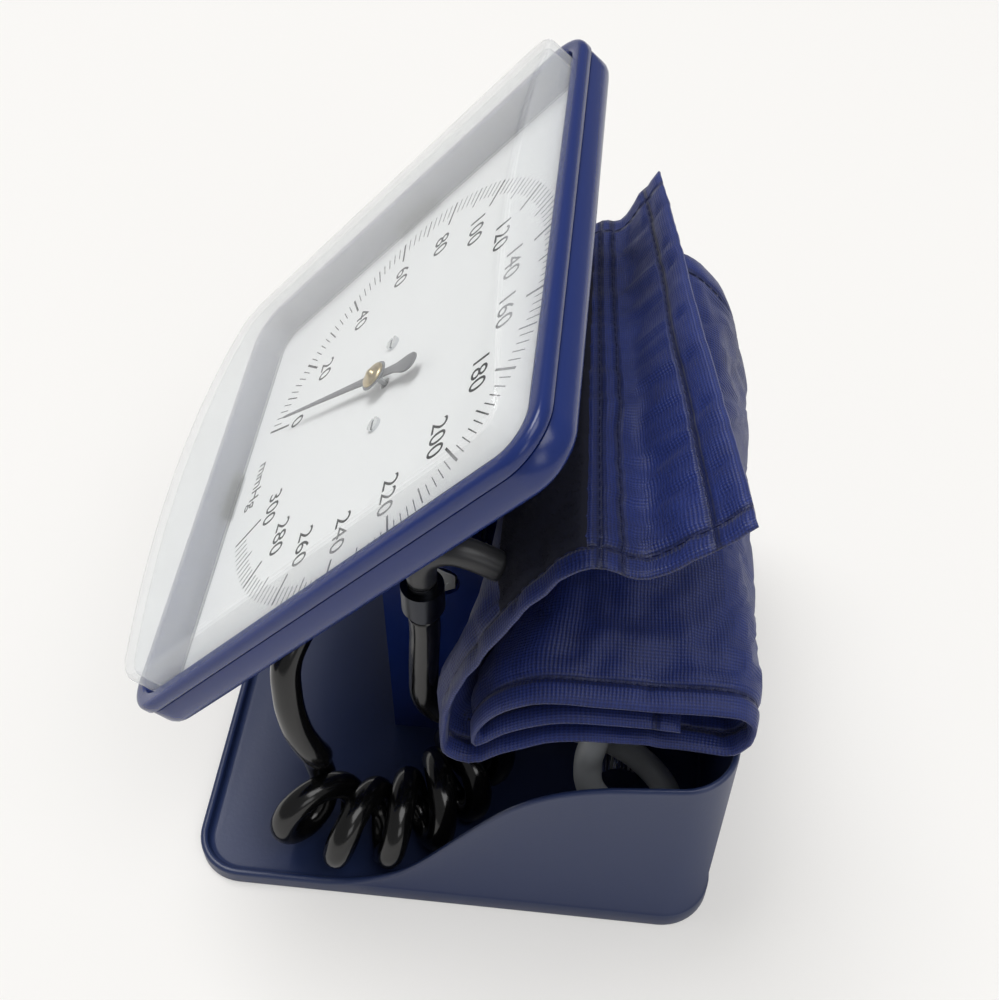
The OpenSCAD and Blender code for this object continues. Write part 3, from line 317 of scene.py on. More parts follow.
# %% [markdown]
# The paper is a matt, nearly white floor. Lamps bright enough to make it white would bleach the
# dial, so the camera sees part of the paper as a plain pale colour, by Light Path's Is Camera
# Ray, and the rest of it keeps the object's shadow. The world is treated in the same way.

# %% The floor and the world
PAPER_SHARE = 0.42
floor_mat = bpy.data.materials.new("floor")
floor_mat.use_nodes = True
matt = floor_mat.node_tree.nodes["Principled BSDF"]
matt.inputs["Base Color"].default_value = lin("#f2f0ed")
matt.inputs["Roughness"].default_value = 0.9
matt.inputs["Specular IOR Level"].default_value = 0.1
paper = node(floor_mat, "Emission", {"Color": lin("#f6f5f3")})
eye = node(floor_mat, "LightPath")
share = node(floor_mat, "Math", {0: eye.outputs["Is Camera Ray"], 1: PAPER_SHARE},
             operation="MULTIPLY")
pale = node(floor_mat, "MixShader", {0: share.outputs[0], 1: matt.outputs[0],
                                     2: paper.outputs[0]})
surface(floor_mat, pale)
FLOOR_Z = -0.05
floor = piece("floor", [(-3000, -3000, FLOOR_Z), (3000, -3000, FLOOR_Z), (3000, 3000, FLOOR_Z),
                        (-3000, 3000, FLOOR_Z)], [(0, 1, 2, 3)], floor_mat, None, smooth=False)
floor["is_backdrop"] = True

world = bpy.data.worlds.new("world")
scene.world = world
world.use_nodes = True
soft_sky = world.node_tree.nodes["Background"]
soft_sky.inputs["Color"].default_value = (1, 1, 1, 1)
soft_sky.inputs["Strength"].default_value = 0.29
path = node(world, "LightPath")
pale_sky = node(world, "Background", {"Color": lin("#f4f3f1"), "Strength": 1.0})
seen = node(world, "Math", {0: path.outputs["Is Camera Ray"],
                            1: path.outputs["Is Transmission Ray"]}, operation="MAXIMUM")
mix = node(world, "MixShader", {0: seen.outputs[0], 1: soft_sky.outputs[0],
                                2: pale_sky.outputs[0]})
world.node_tree.links.new(mix.outputs[0], world.node_tree.nodes["World Output"].inputs["Surface"])
print("floor and world set")

# %% [markdown]
# The photo's shadows are soft and weak, as in a light tent. Large square lamps give that: a key
# above the front, a fill above the right side, and a weak one low on the camera's side that
# draws the edges of the housing.

# %% The lamps


def area_light(name, where, at, size, power):
    """A square soft light at one point in metres, aimed at another, in watts."""
    data = bpy.data.lights.new(name, "AREA")
    data.size, data.energy = size, power
    ob = bpy.data.objects.new(name, data)
    scene.collection.objects.link(ob)
    way = np.array(at) - np.array(where)
    ob.location = where
    ob.rotation_euler = Vector(way).to_track_quat("-Z", "Y").to_euler()


area_light("key", (-0.8, -1.2, 4.4), (0, 0, 0.08), 2.2, 130)
area_light("fill", (1.2, 1.6, 4.0), (0, 0.02, 0.1), 2.6, 62)
area_light("front", (2.7, 1.5, 1.5), (0, 0, 0.1), 1.2, 8)
print("three lamps set")

# %% [markdown]
# ## Materials
# Each starts from what the real one is. A plain surface is a Principled BSDF; what makes it look
# moulded, turned or rubbery is a fine bump from noise, and a slow change of its gloss. The
# pattern reads Object coordinates in metres, so a scale of 900 gives grains of about 1 mm.

# %% Plain and grained surfaces


def material(name, colour, rough, metallic=0.0, **extra):
    """A plain surface: colour, roughness, metal, and any other named inputs."""
    mat = bpy.data.materials.new(name)
    mat.use_nodes = True
    b = mat.node_tree.nodes["Principled BSDF"]
    b.inputs["Base Color"].default_value = lin(colour)
    b.inputs["Roughness"].default_value = rough
    b.inputs["Metallic"].default_value = metallic
    for key, value in extra.items():
        b.inputs[key.replace("_", " ")].default_value = value
    return mat


def grained(mat, scale, depth, rough_change=0.0):
    """Adds a fine bump from noise in object space, and lets it change the roughness a little."""
    b = mat.node_tree.nodes["Principled BSDF"]
    where = node(mat, "TexCoord").outputs["Object"]
    grain = node(mat, "TexNoise", {"Scale": scale, "Detail": 3.0, "Vector": where})
    relief = node(mat, "Bump", {"Strength": 0.6, "Distance": depth,
                                "Height": grain.outputs["Fac"]})
    mat.node_tree.links.new(relief.outputs["Normal"], b.inputs["Normal"])
    if rough_change:
        rough = b.inputs["Roughness"].default_value
        slow = node(mat, "TexNoise", {"Scale": scale / 20, "Vector": where})
        gloss = node(mat, "MapRange", {"To Min": max(0.02, rough - rough_change),
                                       "To Max": rough + rough_change,
                                       "Value": slow.outputs["Fac"]})
        mat.node_tree.links.new(gloss.outputs["Result"], b.inputs["Roughness"])
    return mat


# Injection-moulded ABS, polished mould: navy, with clear but slightly soft highlights.
NAVY = grained(material("navy_plastic", "#162a68", 0.24), 900, 0.00004, 0.05)
# The same from a duller mould, in a greyer colour: painted reflection of the pale floor, which greys
# the tray's sides.
TRAY = grained(material("tray_plastic", "#222f54", 0.36), 900, 0.00004, 0.05)
# Painted sheet metal: a flat white that stays lighter than everything else.
WHITE = grained(material("dial_white", "#f9f9f8", 0.55), 2000, 0.00001)
# Screen-printed black ink.
PRINT = material("dial_print", "#141416", 0.5)
# Stamped and painted aluminium, seen grey against the dial.
NEEDLE = material("needle_paint", "#78787b", 0.42)
# Turned brass: the hub is a paler alloy than the works behind the dial.
HUB = grained(material("pale_brass", "#cdbb96", 0.36, 1.0), 3000, 0.00001, 0.06)
BRASS = grained(material("brass", "#b58d47", 0.32, 1.0), 3000, 0.00001, 0.06)
# Turned steel, chrome plating, and a dark plated connector.
STEEL = grained(material("steel", "#b4b6b8", 0.34, 1.0), 3000, 0.00001, 0.06)
CHROME = material("chrome", "#d4d6d8", 0.12, 1.0)
DARK_METAL = grained(material("dark_plated", "#3b3d42", 0.3, 1.0), 1500, 0.00001, 0.06)
# Glossy extruded hose, whose sharp highlights show the curls.
HOSE = grained(material("hose_rubber", "#0b0b0c", 0.16), 400, 0.00002, 0.04)
# Bladder tubes of softer rubber, one grey and one dark.
GREY = grained(material("grey_tube", "#94979a", 0.42), 600, 0.00002, 0.05)
DARK_TUBE = grained(material("dark_tube", "#26272a", 0.35), 500, 0.00002, 0.05)
# Dip-moulded black rubber of the bulb and bladder.
BLACK = grained(material("black_rubber", "#141415", 0.5), 900, 0.00003, 0.06)
# Nylon washers.
MATTE = material("washer_plastic", "#1a1a1b", 0.6)
# Nylon hook tape: nearly black, and rough enough to swallow the light.
HOOK = grained(material("hook_cloth", "#0a0d20", 0.9), 2500, 0.0002)
# Polyester thread, a little darker than the cloth.
THREAD = material("thread", "#101a48", 0.6)
print("plain surfaces ready")

# %% [markdown]
# The lens is thin moulded polystyrene. A glass shader bends the light twice in such a thin wall
# and needs many samples, so it is made of three parts instead: a see-through one, a milky one
# that grows towards the edge-on view, and a mirror one that does the same. Past a faint haze, the
# milk is a painted highlight for the light a clear wall bends and reflects when seen edge-on. Its
# sides were ground duller than its top, and its rounded edges catch the light, so they have more
# of the milk: frost on the sides, and painted highlight on both.

# %% Clear plastic


def clear_plastic(name, haze, edge):
    """Thin clear plastic: milk, a painted highlight past the haze, goes from haze to edge with the
    sixth power of the slant.
    """
    mat = bpy.data.materials.new(name)
    mat.use_nodes = True
    mat.node_tree.nodes.remove(mat.node_tree.nodes["Principled BSDF"])
    through = node(mat, "BsdfTransparent", {"Color": (0.985, 0.99, 0.992, 1)})
    milk = node(mat, "BsdfDiffuse", {"Color": (0.86, 0.87, 0.88, 1)})
    mirror = node(mat, "BsdfGlossy", {"Roughness": 0.04})
    slant = node(mat, "LayerWeight", {"Blend": 0.5})
    steep = node(mat, "Math", {0: slant.outputs["Facing"], 1: 6}, operation="POWER")
    haze_now = node(mat, "MapRange", {"To Min": haze, "To Max": edge, "Value": steep.outputs[0]})
    cloudy = node(mat, "MixShader", {0: haze_now.outputs["Result"], 1: through.outputs[0],
                                     2: milk.outputs[0]})
    mirrored = node(mat, "Math", {0: steep.outputs[0], 1: 0.55, 2: 0.018},
                    operation="MULTIPLY_ADD")
    both = node(mat, "MixShader", {0: mirrored.outputs[0], 1: cloudy.outputs[0],
                                   2: mirror.outputs[0]})
    surface(mat, both)
    return mat


CLEAR = clear_plastic("clear_plastic", 0.015, 0.45)
# Lens edges and sides: more milk, which is painted highlight.
EDGE_HIGHLIGHT_CLEAR = clear_plastic("lens_edge_highlight", 0.15, 0.65)
FROST_AND_HIGHLIGHT = clear_plastic("lens_side_frost_and_highlight", 0.24, 0.55)
print("clear plastic ready")

# %% [markdown]
# The cuff is plain-woven nylon with a satin sheen. Its real threads are 0.4 mm apart, too fine
# for the picture, so they are drawn 0.8 mm apart. Two sets of ridges, one for the warp and one
# for the weft, swap places on a checker. They read the piece's own UV map, which is in metres
# along and across the ribbon, so that the weave follows the folds.

# %% Woven cloth
THREAD_PITCH = 0.0008


def woven(mat, pitch, dark, light, depth):
    """Plain weave over the UVs in metres: warp and weft ridges swap on a checker of half a pitch."""
    b = mat.node_tree.nodes["Principled BSDF"]
    where = node(mat, "TexCoord")
    cloth_uv = where.outputs["UV"]
    check = node(mat, "TexChecker", {"Scale": 2 / pitch, "Vector": cloth_uv})
    warp, weft = [node(mat, "TexWave", {"Scale": 2 * math.pi / (20 * pitch), "Distortion": 0.4,
                                        "Detail Scale": 2.0, "Vector": cloth_uv},
                       bands_direction=way) for way in ("X", "Y")]
    pick = node(mat, "Mix", {0: check.outputs["Fac"], 2: warp.outputs["Fac"],
                             3: weft.outputs["Fac"]})
    slub = node(mat, "TexNoise", {"Scale": 260, "Detail": 4, "Vector": cloth_uv})
    # Broad noise lightens and darkens the cloth in patches: painted sheen.
    painted_sheen = node(mat, "TexNoise", {"Scale": 28, "Vector": where.outputs["Object"]})
    total = node(mat, "Math", {0: slub.outputs["Fac"], 1: 0.6, 2: pick.outputs[0]},
                 operation="MULTIPLY_ADD")
    relief = node(mat, "Bump", {"Strength": 0.75, "Distance": depth, "Height": total.outputs[0]})
    mat.node_tree.links.new(relief.outputs["Normal"], b.inputs["Normal"])
    half = node(mat, "Math", {0: total.outputs[0], 1: 0.45}, operation="MULTIPLY")
    tone = node(mat, "Math", {0: painted_sheen.outputs["Fac"], 1: 0.55, 2: half.outputs[0]},
                operation="MULTIPLY_ADD")
    ramp = node(mat, "ValToRGB", {"Fac": tone.outputs[0]})
    first, last = ramp.color_ramp.elements
    first.position, last.position = 0.2, 1.0
    first.color, last.color = lin(dark), lin(light)
    mat.node_tree.links.new(ramp.outputs["Color"], b.inputs["Base Color"])
    return mat


CLOTH = woven(material("navy_cloth", "#141f52", 0.5, Sheen_Weight=0.12, Sheen_Roughness=0.4),
              THREAD_PITCH, "#060d36", "#233783", 0.00013)
print("cloth ready")

# %% [markdown]
# Every node of the construction gets its finish, also the works behind the dial and the bladder
# inside the cuff. They are hidden here, but another scene may open the gauge or pull it apart.

# %% Finish of each node
PAINT = {
    "tray": TRAY, "neck": NAVY, "neck_screws": STEEL, "hinge_bolt": STEEL, "hinge_nut": STEEL,
    "friction_washers": MATTE, "bezel": NAVY, "back_housing": NAVY, "movement_cover": NAVY,
    "cover_screws": STEEL, "lens": CLEAR, "lens_clips": CLEAR, "dial_plate": WHITE,
    "dial_screws": CHROME, "works_base_plate": BRASS, "works_pillars": BRASS,
    "works_bridge": BRASS, "bridge_screws": STEEL, "pressure_capsule": BRASS,
    "capsule_pusher": STEEL, "rocker": STEEL, "rocker_stand": BRASS, "sector_gear": BRASS,
    "pointer_staff": STEEL, "hairspring": STEEL, "pointer": NEEDLE, "pointer_hub": HUB,
    "inlet_nipple": CHROME, "pressure_tube": BRASS, "coiled_hose": HOSE, "hose_collar": CHROME,
    "cuff": CLOTH, "bladder": BLACK, "hook_tape": HOOK, "cuff_tube_to_gauge": GREY,
    "cuff_tube_to_bulb": GREY, "tube_connector": DARK_METAL, "bulb": BLACK,
    "intake_valve": CHROME, "release_valve": CHROME, "valve_screw": CHROME}
for name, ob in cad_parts.items():
    ob.data.materials.clear()
    ob.data.materials.append(PAINT[name])
print("materials:", len(PAINT), "construction nodes painted")

# %% [markdown]
# ## Tray
# The tray is one moulded shell. Its side walls drop in an S-curve from the high back to the low
# front, where only a lip is left. A box with cut sides would have a sharp top edge, so the wall
# is made of rings that follow the plan instead: each ring stands a little further in, and its
# height follows the S-curve, which rounds the top edge all the way round.

# %% The S-curve
S_POINTS = np.array([(-81, 6), (-41.5, 6), (-34, 6.6), (-27, 8.4), (-20, 11.6), (-13.5, 16.5),
                     (-8, 23), (-2, 31.5), (5, 42), (12, 52), (19, 61), (26.5, 67.8),
                     (35, 72.9), (44.5, 76.3), (56, 78.3), (68, 80.2), (81, 82.2)], float)
S_LINE = catmull(S_POINTS, 8)


def side_height(y):
    """Height of the side wall's top edge at y, off the S-curve."""
    return np.interp(y, S_LINE[:, 0], S_LINE[:, 1])


def even_plan(w, d, r, step=2.0):
    """Plan outline with evenly spaced points and its outward normals."""
    line = plan(w, d, r, 16)
    ring = even(np.r_[line, line[:1]], step)[:-1]
    t = np.roll(ring, -1, 0) - np.roll(ring, 1, 0)
    t /= np.linalg.norm(t, axis=1)[:, None]
    return ring, np.c_[t[:, 1], -t[:, 0]]


print("side walls from", side_height(-81), "to", side_height(81), "mm high")

# %% The tray's shell
TRAY_SIZE, TRAY_CORNER, WALL, FLOOR_T = 160, 15, 2.4, 3.0
SKIRT_H, SKIRT_STEP = 7.0, 0.6
ring, out = even_plan(TRAY_SIZE, TRAY_SIZE, TRAY_CORNER)
h = side_height(ring[:, 1])
flat = 0 * h
step_in = SKIRT_STEP * np.clip((h - 7.5) / 3, 0, 1)
skirt = np.minimum(SKIRT_H, h - 1.6)
rows = [(WALL, flat), (0.9, flat), (0.25, flat + 0.25), (0, flat + 0.9), (0, skirt - 0.3),
        (0.15 * step_in / SKIRT_STEP, skirt), (step_in, skirt + 0.35), (step_in, h - 1.1),
        (step_in + 0.12, h - 0.5), (step_in + 0.5, h - 0.12), (flat + 1.3, h),
        (flat + 1.95, h - 0.12), (flat + 2.32, h - 0.5), (WALL, h - 1.1),
        (WALL, flat + 4.6), (2.7, flat + 3.7), (3.4, flat + 3.1), (4.4, flat + FLOOR_T)]
pts = np.concatenate([np.c_[ring - np.broadcast_to(i, h.shape)[:, None] * out, z]
                      for i, z in rows])
cols = len(ring)
faces = grid_faces(len(rows), cols, False, True)
faces += [list(range(cols))[::-1], list(range(len(pts) - cols, len(pts)))]
tray = piece("tray_shell", pts, faces, TRAY, "stand", stands_for=["tray"])
sealed(tray)
print("tray:", len(pts), "points")

# %% [markdown]
# ## Neck and small hard pieces
# The neck, the connector, the valves and the hinge's parts have the right shape already, but
# their edges are sharp as drawn. Nothing moulded or turned has such edges, and light shows it,
# so a live bevel rounds them by what suits each piece.

# %% Rounded edges
EDGE_RADII = {"neck": 0.8, "movement_cover": 0.5, "tube_connector": 0.4, "hose_collar": 0.3,
              "release_valve": 0.3, "intake_valve": 0.4, "inlet_nipple": 0.2,
              "valve_screw": 0.2, "lens_clips": 0.25, "hinge_bolt": 0.2, "hinge_nut": 0.3,
              "works_bridge": 0.15, "works_base_plate": 0.15}
SHARPEST = math.radians(30)
for name, radius in EDGE_RADII.items():
    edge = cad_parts[name].modifiers.new("edge", "BEVEL")
    edge.width, edge.segments = radius / 1000, 2
    edge.limit_method, edge.angle_limit = "ANGLE", SHARPEST
print("edges rounded on", len(EDGE_RADII), "nodes")

# %% [markdown]
# ## Dial head: bezel, housing and lens
# The head is two mouldings that meet in a parting line: a bezel in front and a housing behind.
# Both are a profile carried round the same rounded rectangle. What reads as a good moulding is
# the profile's radii: a soft outer edge, a flat face, and a small fall towards the lens.

# %% Bezel
CASE = (160, 158, 13)
BEZEL_PROFILE = [(0.25, -3.4), (0, -3.15), (0, -1.5), (0.15, -0.85), (0.55, -0.32),
                 (1.15, -0.05), (1.9, 0), (3.5, 0), (4.1, -0.1), (4.42, -0.4), (4.5, -0.9),
                 (4.5, -8.9), (4.4, -9), (3.2, -9), (3.1, -8.9), (3.1, -3.6), (2.9, -3.4)]
pts, faces = framed(*CASE, BEZEL_PROFILE[::-1])
bezel = piece("bezel_shell", on_head(pts), faces, NAVY, "head", stands_for=["bezel"])
sealed(bezel)
print("bezel:", len(pts), "points")

# %% Housing
BACK_N, PLATE_N, HOLE_R = -12.4, -10.4, 36.8
HOUSING_PROFILE = [(2.6, -3.9), (0.7, -3.9), (0.6, -4.0), (0.6, -8.6), (0.72, -9.8),
                   (1.15, -10.9), (1.95, -11.8), (3.0, -12.3), (4.2, BACK_N)]
outside = framed(*CASE, HOUSING_PROFILE[::-1], closed=False)
edge = plan(CASE[0] - 8.4, CASE[1] - 8.4, CASE[2] - 4.2)
n = len(edge)
bearing = np.arctan2(edge[:, 1], edge[:, 0])
hole = HOLE_R * np.c_[np.cos(bearing), np.sin(bearing)]
inside = framed(*CASE, [(2.6, -3.9), (2.6, PLATE_N)], closed=False)[0]
back_plate = np.r_[np.c_[edge, np.full(n, BACK_N)], np.c_[hole, np.full(n, BACK_N)],
                   np.c_[hole, np.full(n, PLATE_N)], np.c_[inside[n:, :2], np.full(n, PLATE_N)]]
pts, faces = join(outside, (back_plate, grid_faces(4, n, False, True)),
                  (inside, [f[::-1] for f in grid_faces(2, n, False, True)]))
shell = piece("housing_shell", on_head(pts), faces, NAVY, "head", stands_for=["back_housing"])
sealed(shell)
print("housing:", len(pts), "points")

# %% [markdown]
# The lens is a clear box with a barrel-vaulted top: straight across its sides, arched between
# them. It has an outer and an inner skin, each built as rings from the foot up over a rounded
# edge and in to the middle, and every ring past the edge takes its height from the arch. The two
# ends need points along their length, or the arch would be cut flat there.

# %% Lens
LENS, LENS_CORNER, LENS_T, LENS_FOOT = (150, 148), 9, 2.0, -8.7
SIDE_H, RISE = 6.5, 6.0
OUTER_EDGE, INNER_EDGE = 1.8, 1.0
CORNER_POINTS, END_POINTS = 12, 24


def vault(x):
    """Height of the lens over the rim: side + rise (1 - (x / half width)^2)."""
    return SIDE_H + RISE * (1 - (x / (LENS[0] / 2)) ** 2)


def vaulted_plan(w, d, r, n):
    """Rounded rectangle with more points along its two ends, so that they can follow the vault."""
    p = plan(w, d, r, n)
    q = n + 1
    far_end = np.linspace(p[q - 1], p[q], END_POINTS + 2)[1:-1]
    near_end = np.linspace(p[3 * q - 1], p[3 * q], END_POINTS + 2)[1:-1]
    return np.r_[p[:q], far_end, p[q:3 * q], near_end, p[3 * q:]]


def lens_skin(inset, drop, corner):
    """One skin of the lens: straight sides, a rounded edge, then the vaulted top in rings."""
    rings = [(0, LENS_FOOT, None), (0, -2.0, None)]
    rings += [(share * corner, None, low * corner) for share, low in
              ((0, 1), (0.08, 0.6), (0.3, 0.29), (0.62, 0.08), (1, 0))]
    rings += [(v, None, 0.0) for v in (4, 7, 11, 16, 22, 29, 36, 44, 52, 60, 67, 71, 73 - inset)]
    pts = []
    for i, z, below in rings:
        p = vaulted_plan(LENS[0] - 2 * (inset + i), LENS[1] - 2 * (inset + i),
                         max(LENS_CORNER - inset - i, 0.3), CORNER_POINTS)
        height = np.full(len(p), z) if z is not None else vault(p[:, 0]) - drop - below
        pts.append(np.c_[p, height])
    m = len(pts[0])
    faces = grid_faces(len(pts), m, False, True) + [list(range((len(pts) - 1) * m, len(pts) * m))]
    return np.concatenate(pts), faces


outer = lens_skin(0, 0.0, OUTER_EDGE)
inner = lens_skin(LENS_T, LENS_T, INNER_EDGE)
m = 4 * (CORNER_POINTS + 1) + 2 * END_POINTS
foot = (np.r_[outer[0][:m], inner[0][:m]], grid_faces(2, m, False, True))
pts, faces = join(outer, (inner[0], [f[::-1] for f in inner[1]]), foot)
lens = piece("lens_shell", on_head(pts), faces, CLEAR, "head", stands_for=["lens"])
sealed(lens)
lens.data.materials.append(FROST_AND_HIGHLIGHT)
lens.data.materials.append(EDGE_HIGHLIGHT_CLEAR)
SIDE_SLANT, EDGE_SLANT = 0.3, 0.93
# Sides and rounded edges take the milkier materials, whose extra milk is painted highlight.
for poly in lens.data.polygons:
    facing = abs(np.dot(poly.normal, OUT_DIAL))
    if len(poly.vertices) < 6 and facing < EDGE_SLANT:
        poly.material_index = 1 if facing < SIDE_SLANT else 2
print("lens:", len(lens.data.vertices), "points")

# %% [markdown]
# ## Dial print
# The scale runs clockwise from 0 to 300 over 320 degrees, and 0 stands 160 degrees left of the
# top. Print has almost no height. Here each mark is a box and each number a mesh that stands a
# few hundredths of a millimetre proud of the plate, so that the two never share a surface.

# %% Scale marks
DIAL_N, INK = -8.97, 0.04
MARK_R, NUMBER_R, UNIT_U = 67.5, 50.5, -61.5
FULL_SCALE, SWEEP = 300, 320


def dial_angle(value):
    """Direction on the dial of a reading, counter-clockwise from +x, in radians."""
    return math.radians(90 + SWEEP / 2 - SWEEP * value / FULL_SCALE)


def mark(value):
    """Inner radius and width of the mark for a reading: longest at the ends, then by twenties."""
    if value % 20 == 0:
        return (55.5 if value in (0, FULL_SCALE) else 58.5), 0.75
    return (60.5, 0.45) if value % 10 == 0 else (62.3, 0.32)


BOX = [(3, 2, 1, 0), (4, 5, 6, 7), (0, 1, 5, 4), (1, 2, 6, 5), (2, 3, 7, 6), (3, 0, 4, 7)]
marks = []
for value in range(0, FULL_SCALE + 1, 2):
    inner_r, width = mark(value)
    a = dial_angle(value)
    along, across = np.array([math.cos(a), math.sin(a)]), np.array([-math.sin(a), math.cos(a)])
    half_l, half_w = (MARK_R - inner_r) / 2, width / 2
    centre = along * (MARK_R + inner_r) / 2
    flat = np.array([centre + i * half_l * along + j * half_w * across
                     for i, j in ((-1, -1), (1, -1), (1, 1), (-1, 1))])
    marks.append((np.r_[np.c_[flat, [DIAL_N - INK] * 4], np.c_[flat, [DIAL_N] * 4]], BOX))
pts, faces = join(*marks)
piece("scale_marks", on_head(pts), faces, PRINT, "head", smooth=False)
print("scale:", len(marks), "marks")

# %% Numbers


def printed(text, x, u, size):
    """Points and faces of plain characters laid on the dial."""
    curve = bpy.data.curves.new("print", "FONT")
    curve.body, curve.size = text, size
    curve.align_x, curve.align_y = "CENTER", "CENTER"
    curve.extrude, curve.resolution_u = INK / 2, 6
    temp = bpy.data.objects.new("print", curve)
    scene.collection.objects.link(temp)
    mesh = temp.to_mesh()
    pts = np.array([v.co for v in mesh.vertices]) + np.array([x, u, DIAL_N - INK / 2])
    faces = [tuple(p.vertices) for p in mesh.polygons]
    temp.to_mesh_clear()
    bpy.data.objects.remove(temp)
    return pts, faces


numbers = [printed(str(v), NUMBER_R * math.cos(dial_angle(v)), NUMBER_R * math.sin(dial_angle(v)),
                   8.6) for v in range(0, FULL_SCALE + 1, 20)]
numbers.append(printed("mmHg", 0, UNIT_U, 7.0))
pts, faces = join(*numbers)
digits = piece("scale_numbers", on_head(pts), faces, PRINT, "head", smooth=False)
sealed(digits, 0.000001)
print("numbers:", len(numbers) - 1)

# %% [markdown]
# ## Pointer and hub
# The pointer is stamped from thin sheet, with a counterweight past the hub shaped like a drop.
# Half its outline is written down and mirrored, and the top outline is narrower than the lower
# one, which gives it the rounded edge of paint. The hub is a turned cap on a washer.

# %% Pointer
HALF_OUTLINE = np.array([(53, 0.18), (50, 0.3), (30, 0.72), (10, 1.2), (4.2, 1.45), (0, 1.6),
                         (-5, 1.35), (-10, 1.5), (-12.5, 2.2), (-15, 2.95), (-17.2, 3.0),
                         (-18.8, 2.3), (-19.6, 1.1), (-19.8, 0)])
NEEDLE_N = -5.3


def turned(pts, angle):
    """Points turned about the dial's axis, so that +x becomes the direction asked for."""
    pts = np.asarray(pts, float)
    c, s = math.cos(angle), math.sin(angle)
    return np.c_[pts[:, 0] * c - pts[:, 1] * s, pts[:, 0] * s + pts[:, 1] * c, pts[:, 2]]


line = np.r_[HALF_OUTLINE, HALF_OUTLINE[-2::-1] * [1, -1]]
k = len(line)
pts = np.concatenate([np.c_[line * scale, np.full(k, NEEDLE_N - below)] for scale, below in
                      (((1, 1), 0.5), ((1, 1), 0.12), ((0.998, 0.86), 0))])
faces = grid_faces(3, k, False, True) + [list(range(k))[::-1], list(range(2 * k, 3 * k))]
needle = piece("needle", on_head(turned(pts, dial_angle(0))), faces, NEEDLE, "needle",
               stands_for=["pointer"])
sealed(needle)

# %% Hub
CAP_PROFILE = [(0, -4.95), (3.9, -4.95), (4.05, -4.7), (3.7, -4.25), (2.9, -3.95), (1.3, -3.8),
               (1.2, -3.3), (0.9, -3.05), (0, -3.0)]
WASHER_PROFILE = [(0, NEEDLE_N), (4.6, NEEDLE_N), (4.75, -5.15), (4.6, -4.95), (0, -4.95)]
cap, washer = lathe(CAP_PROFILE), lathe(WASHER_PROFILE)
hub = piece("hub_cap", on_head(cap[0]), cap[1], HUB, "needle", stands_for=["pointer_hub"])
disc = piece("hub_washer", on_head(washer[0]), washer[1], NEEDLE, "needle")
sealed(hub)
sealed(disc)
print("pointer, hub and washer made")

# %% [markdown]
# ## Coiled hose
# One moulded hose, wound in curls for its middle part. A helix with a straight axis would not
# do: the curls open out round a bend, as they do when such a hose is pushed into a corner. So
# each curl has a centre, a heading and a tip, given one by one, a curve runs smoothly from one to
# the next, and the hose circles round that curve once per curl. Two leads join its ends.

# %% The hose's line
CURL_R, HOSE_R = 10.4, 4.25
NIPPLE_BEARING = math.radians(-42)
NIPPLE_R, NIPPLE_N, NIPPLE_GAP = 44.2, -25.15, 0.3
out_of_nipple = (math.cos(NIPPLE_BEARING) * np.array([1.0, 0, 0])
                 + math.sin(NIPPLE_BEARING) * UP_DIAL)
nipple_end = head(NIPPLE_R * math.cos(NIPPLE_BEARING), NIPPLE_R * math.sin(NIPPLE_BEARING),
                  NIPPLE_N)
LEAD_DOWN = [nipple_end + NIPPLE_GAP * out_of_nipple, nipple_end + 5 * out_of_nipple,
             nipple_end + 8.5 * out_of_nipple, nipple_end + 14.45 * out_of_nipple + [1, 0, -1],
             (56, -44, 92), (61, -44.5, 80), (63, -43, 67), (62.5, -40.5, 56), (59.5, -39.5, 47),
             (54.5, -41.5, 38.5), (50.5, -43.5, 30)]
CURLS = [(58, -50, 20.2, 40, 22), (64.5, -37, 18.7, 63, 5), (65, -24, 18.7, 85, 0),
         (60, -12, 18.7, 104, 0), (51, -2.5, 18.7, 121, 0), (40, 2.5, 18.7, 138, 0),
         (29, 5, 18.7, 155, 0)]
LEAD_UP = [(38.5, 12.5, 28.5), (39, 9, 38), (42.5, 2, 48), (47, -5, 59), (50, -8, 70),
           (50, -8, 82), (50, -7.5, 92), (50, -7, 101), (50, -7, 109)]
TURNS, PER_TURN, FIRST = 5.5, 64, math.pi
k = np.arange(int(TURNS * PER_TURN) + 1)
curl = catmull(CURLS, PER_TURN)[k]
a = FIRST + 2 * math.pi * k / PER_TURN
heading, tip = np.radians(curl[:, 3]), np.radians(curl[:, 4])
side = np.c_[np.sin(heading), -np.cos(heading), 0 * heading]
front = np.c_[np.cos(tip) * np.cos(heading), np.cos(tip) * np.sin(heading), np.sin(tip)]
coil = curl[:, :3] + CURL_R * (np.cos(a)[:, None] * side
                               + np.sin(a)[:, None] * np.cross(side, front))
hose_line = even(catmull(np.concatenate([np.array(LEAD_DOWN), coil[::8], np.array(LEAD_UP)]), 10),
                 1.1)

# %% The hose
pts, faces = tube(hose_line, HOSE_R, 20)
hose = piece("hose_tube", pts, faces, HOSE, None, stands_for=["coiled_hose"])
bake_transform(hose)

# %% [markdown]
# ## Bladder tubes
# Two softer tubes leave the cuff: one goes up to the connector at the hose, the other down to
# the bulb in the tray. Both are plain tubes along a given line.

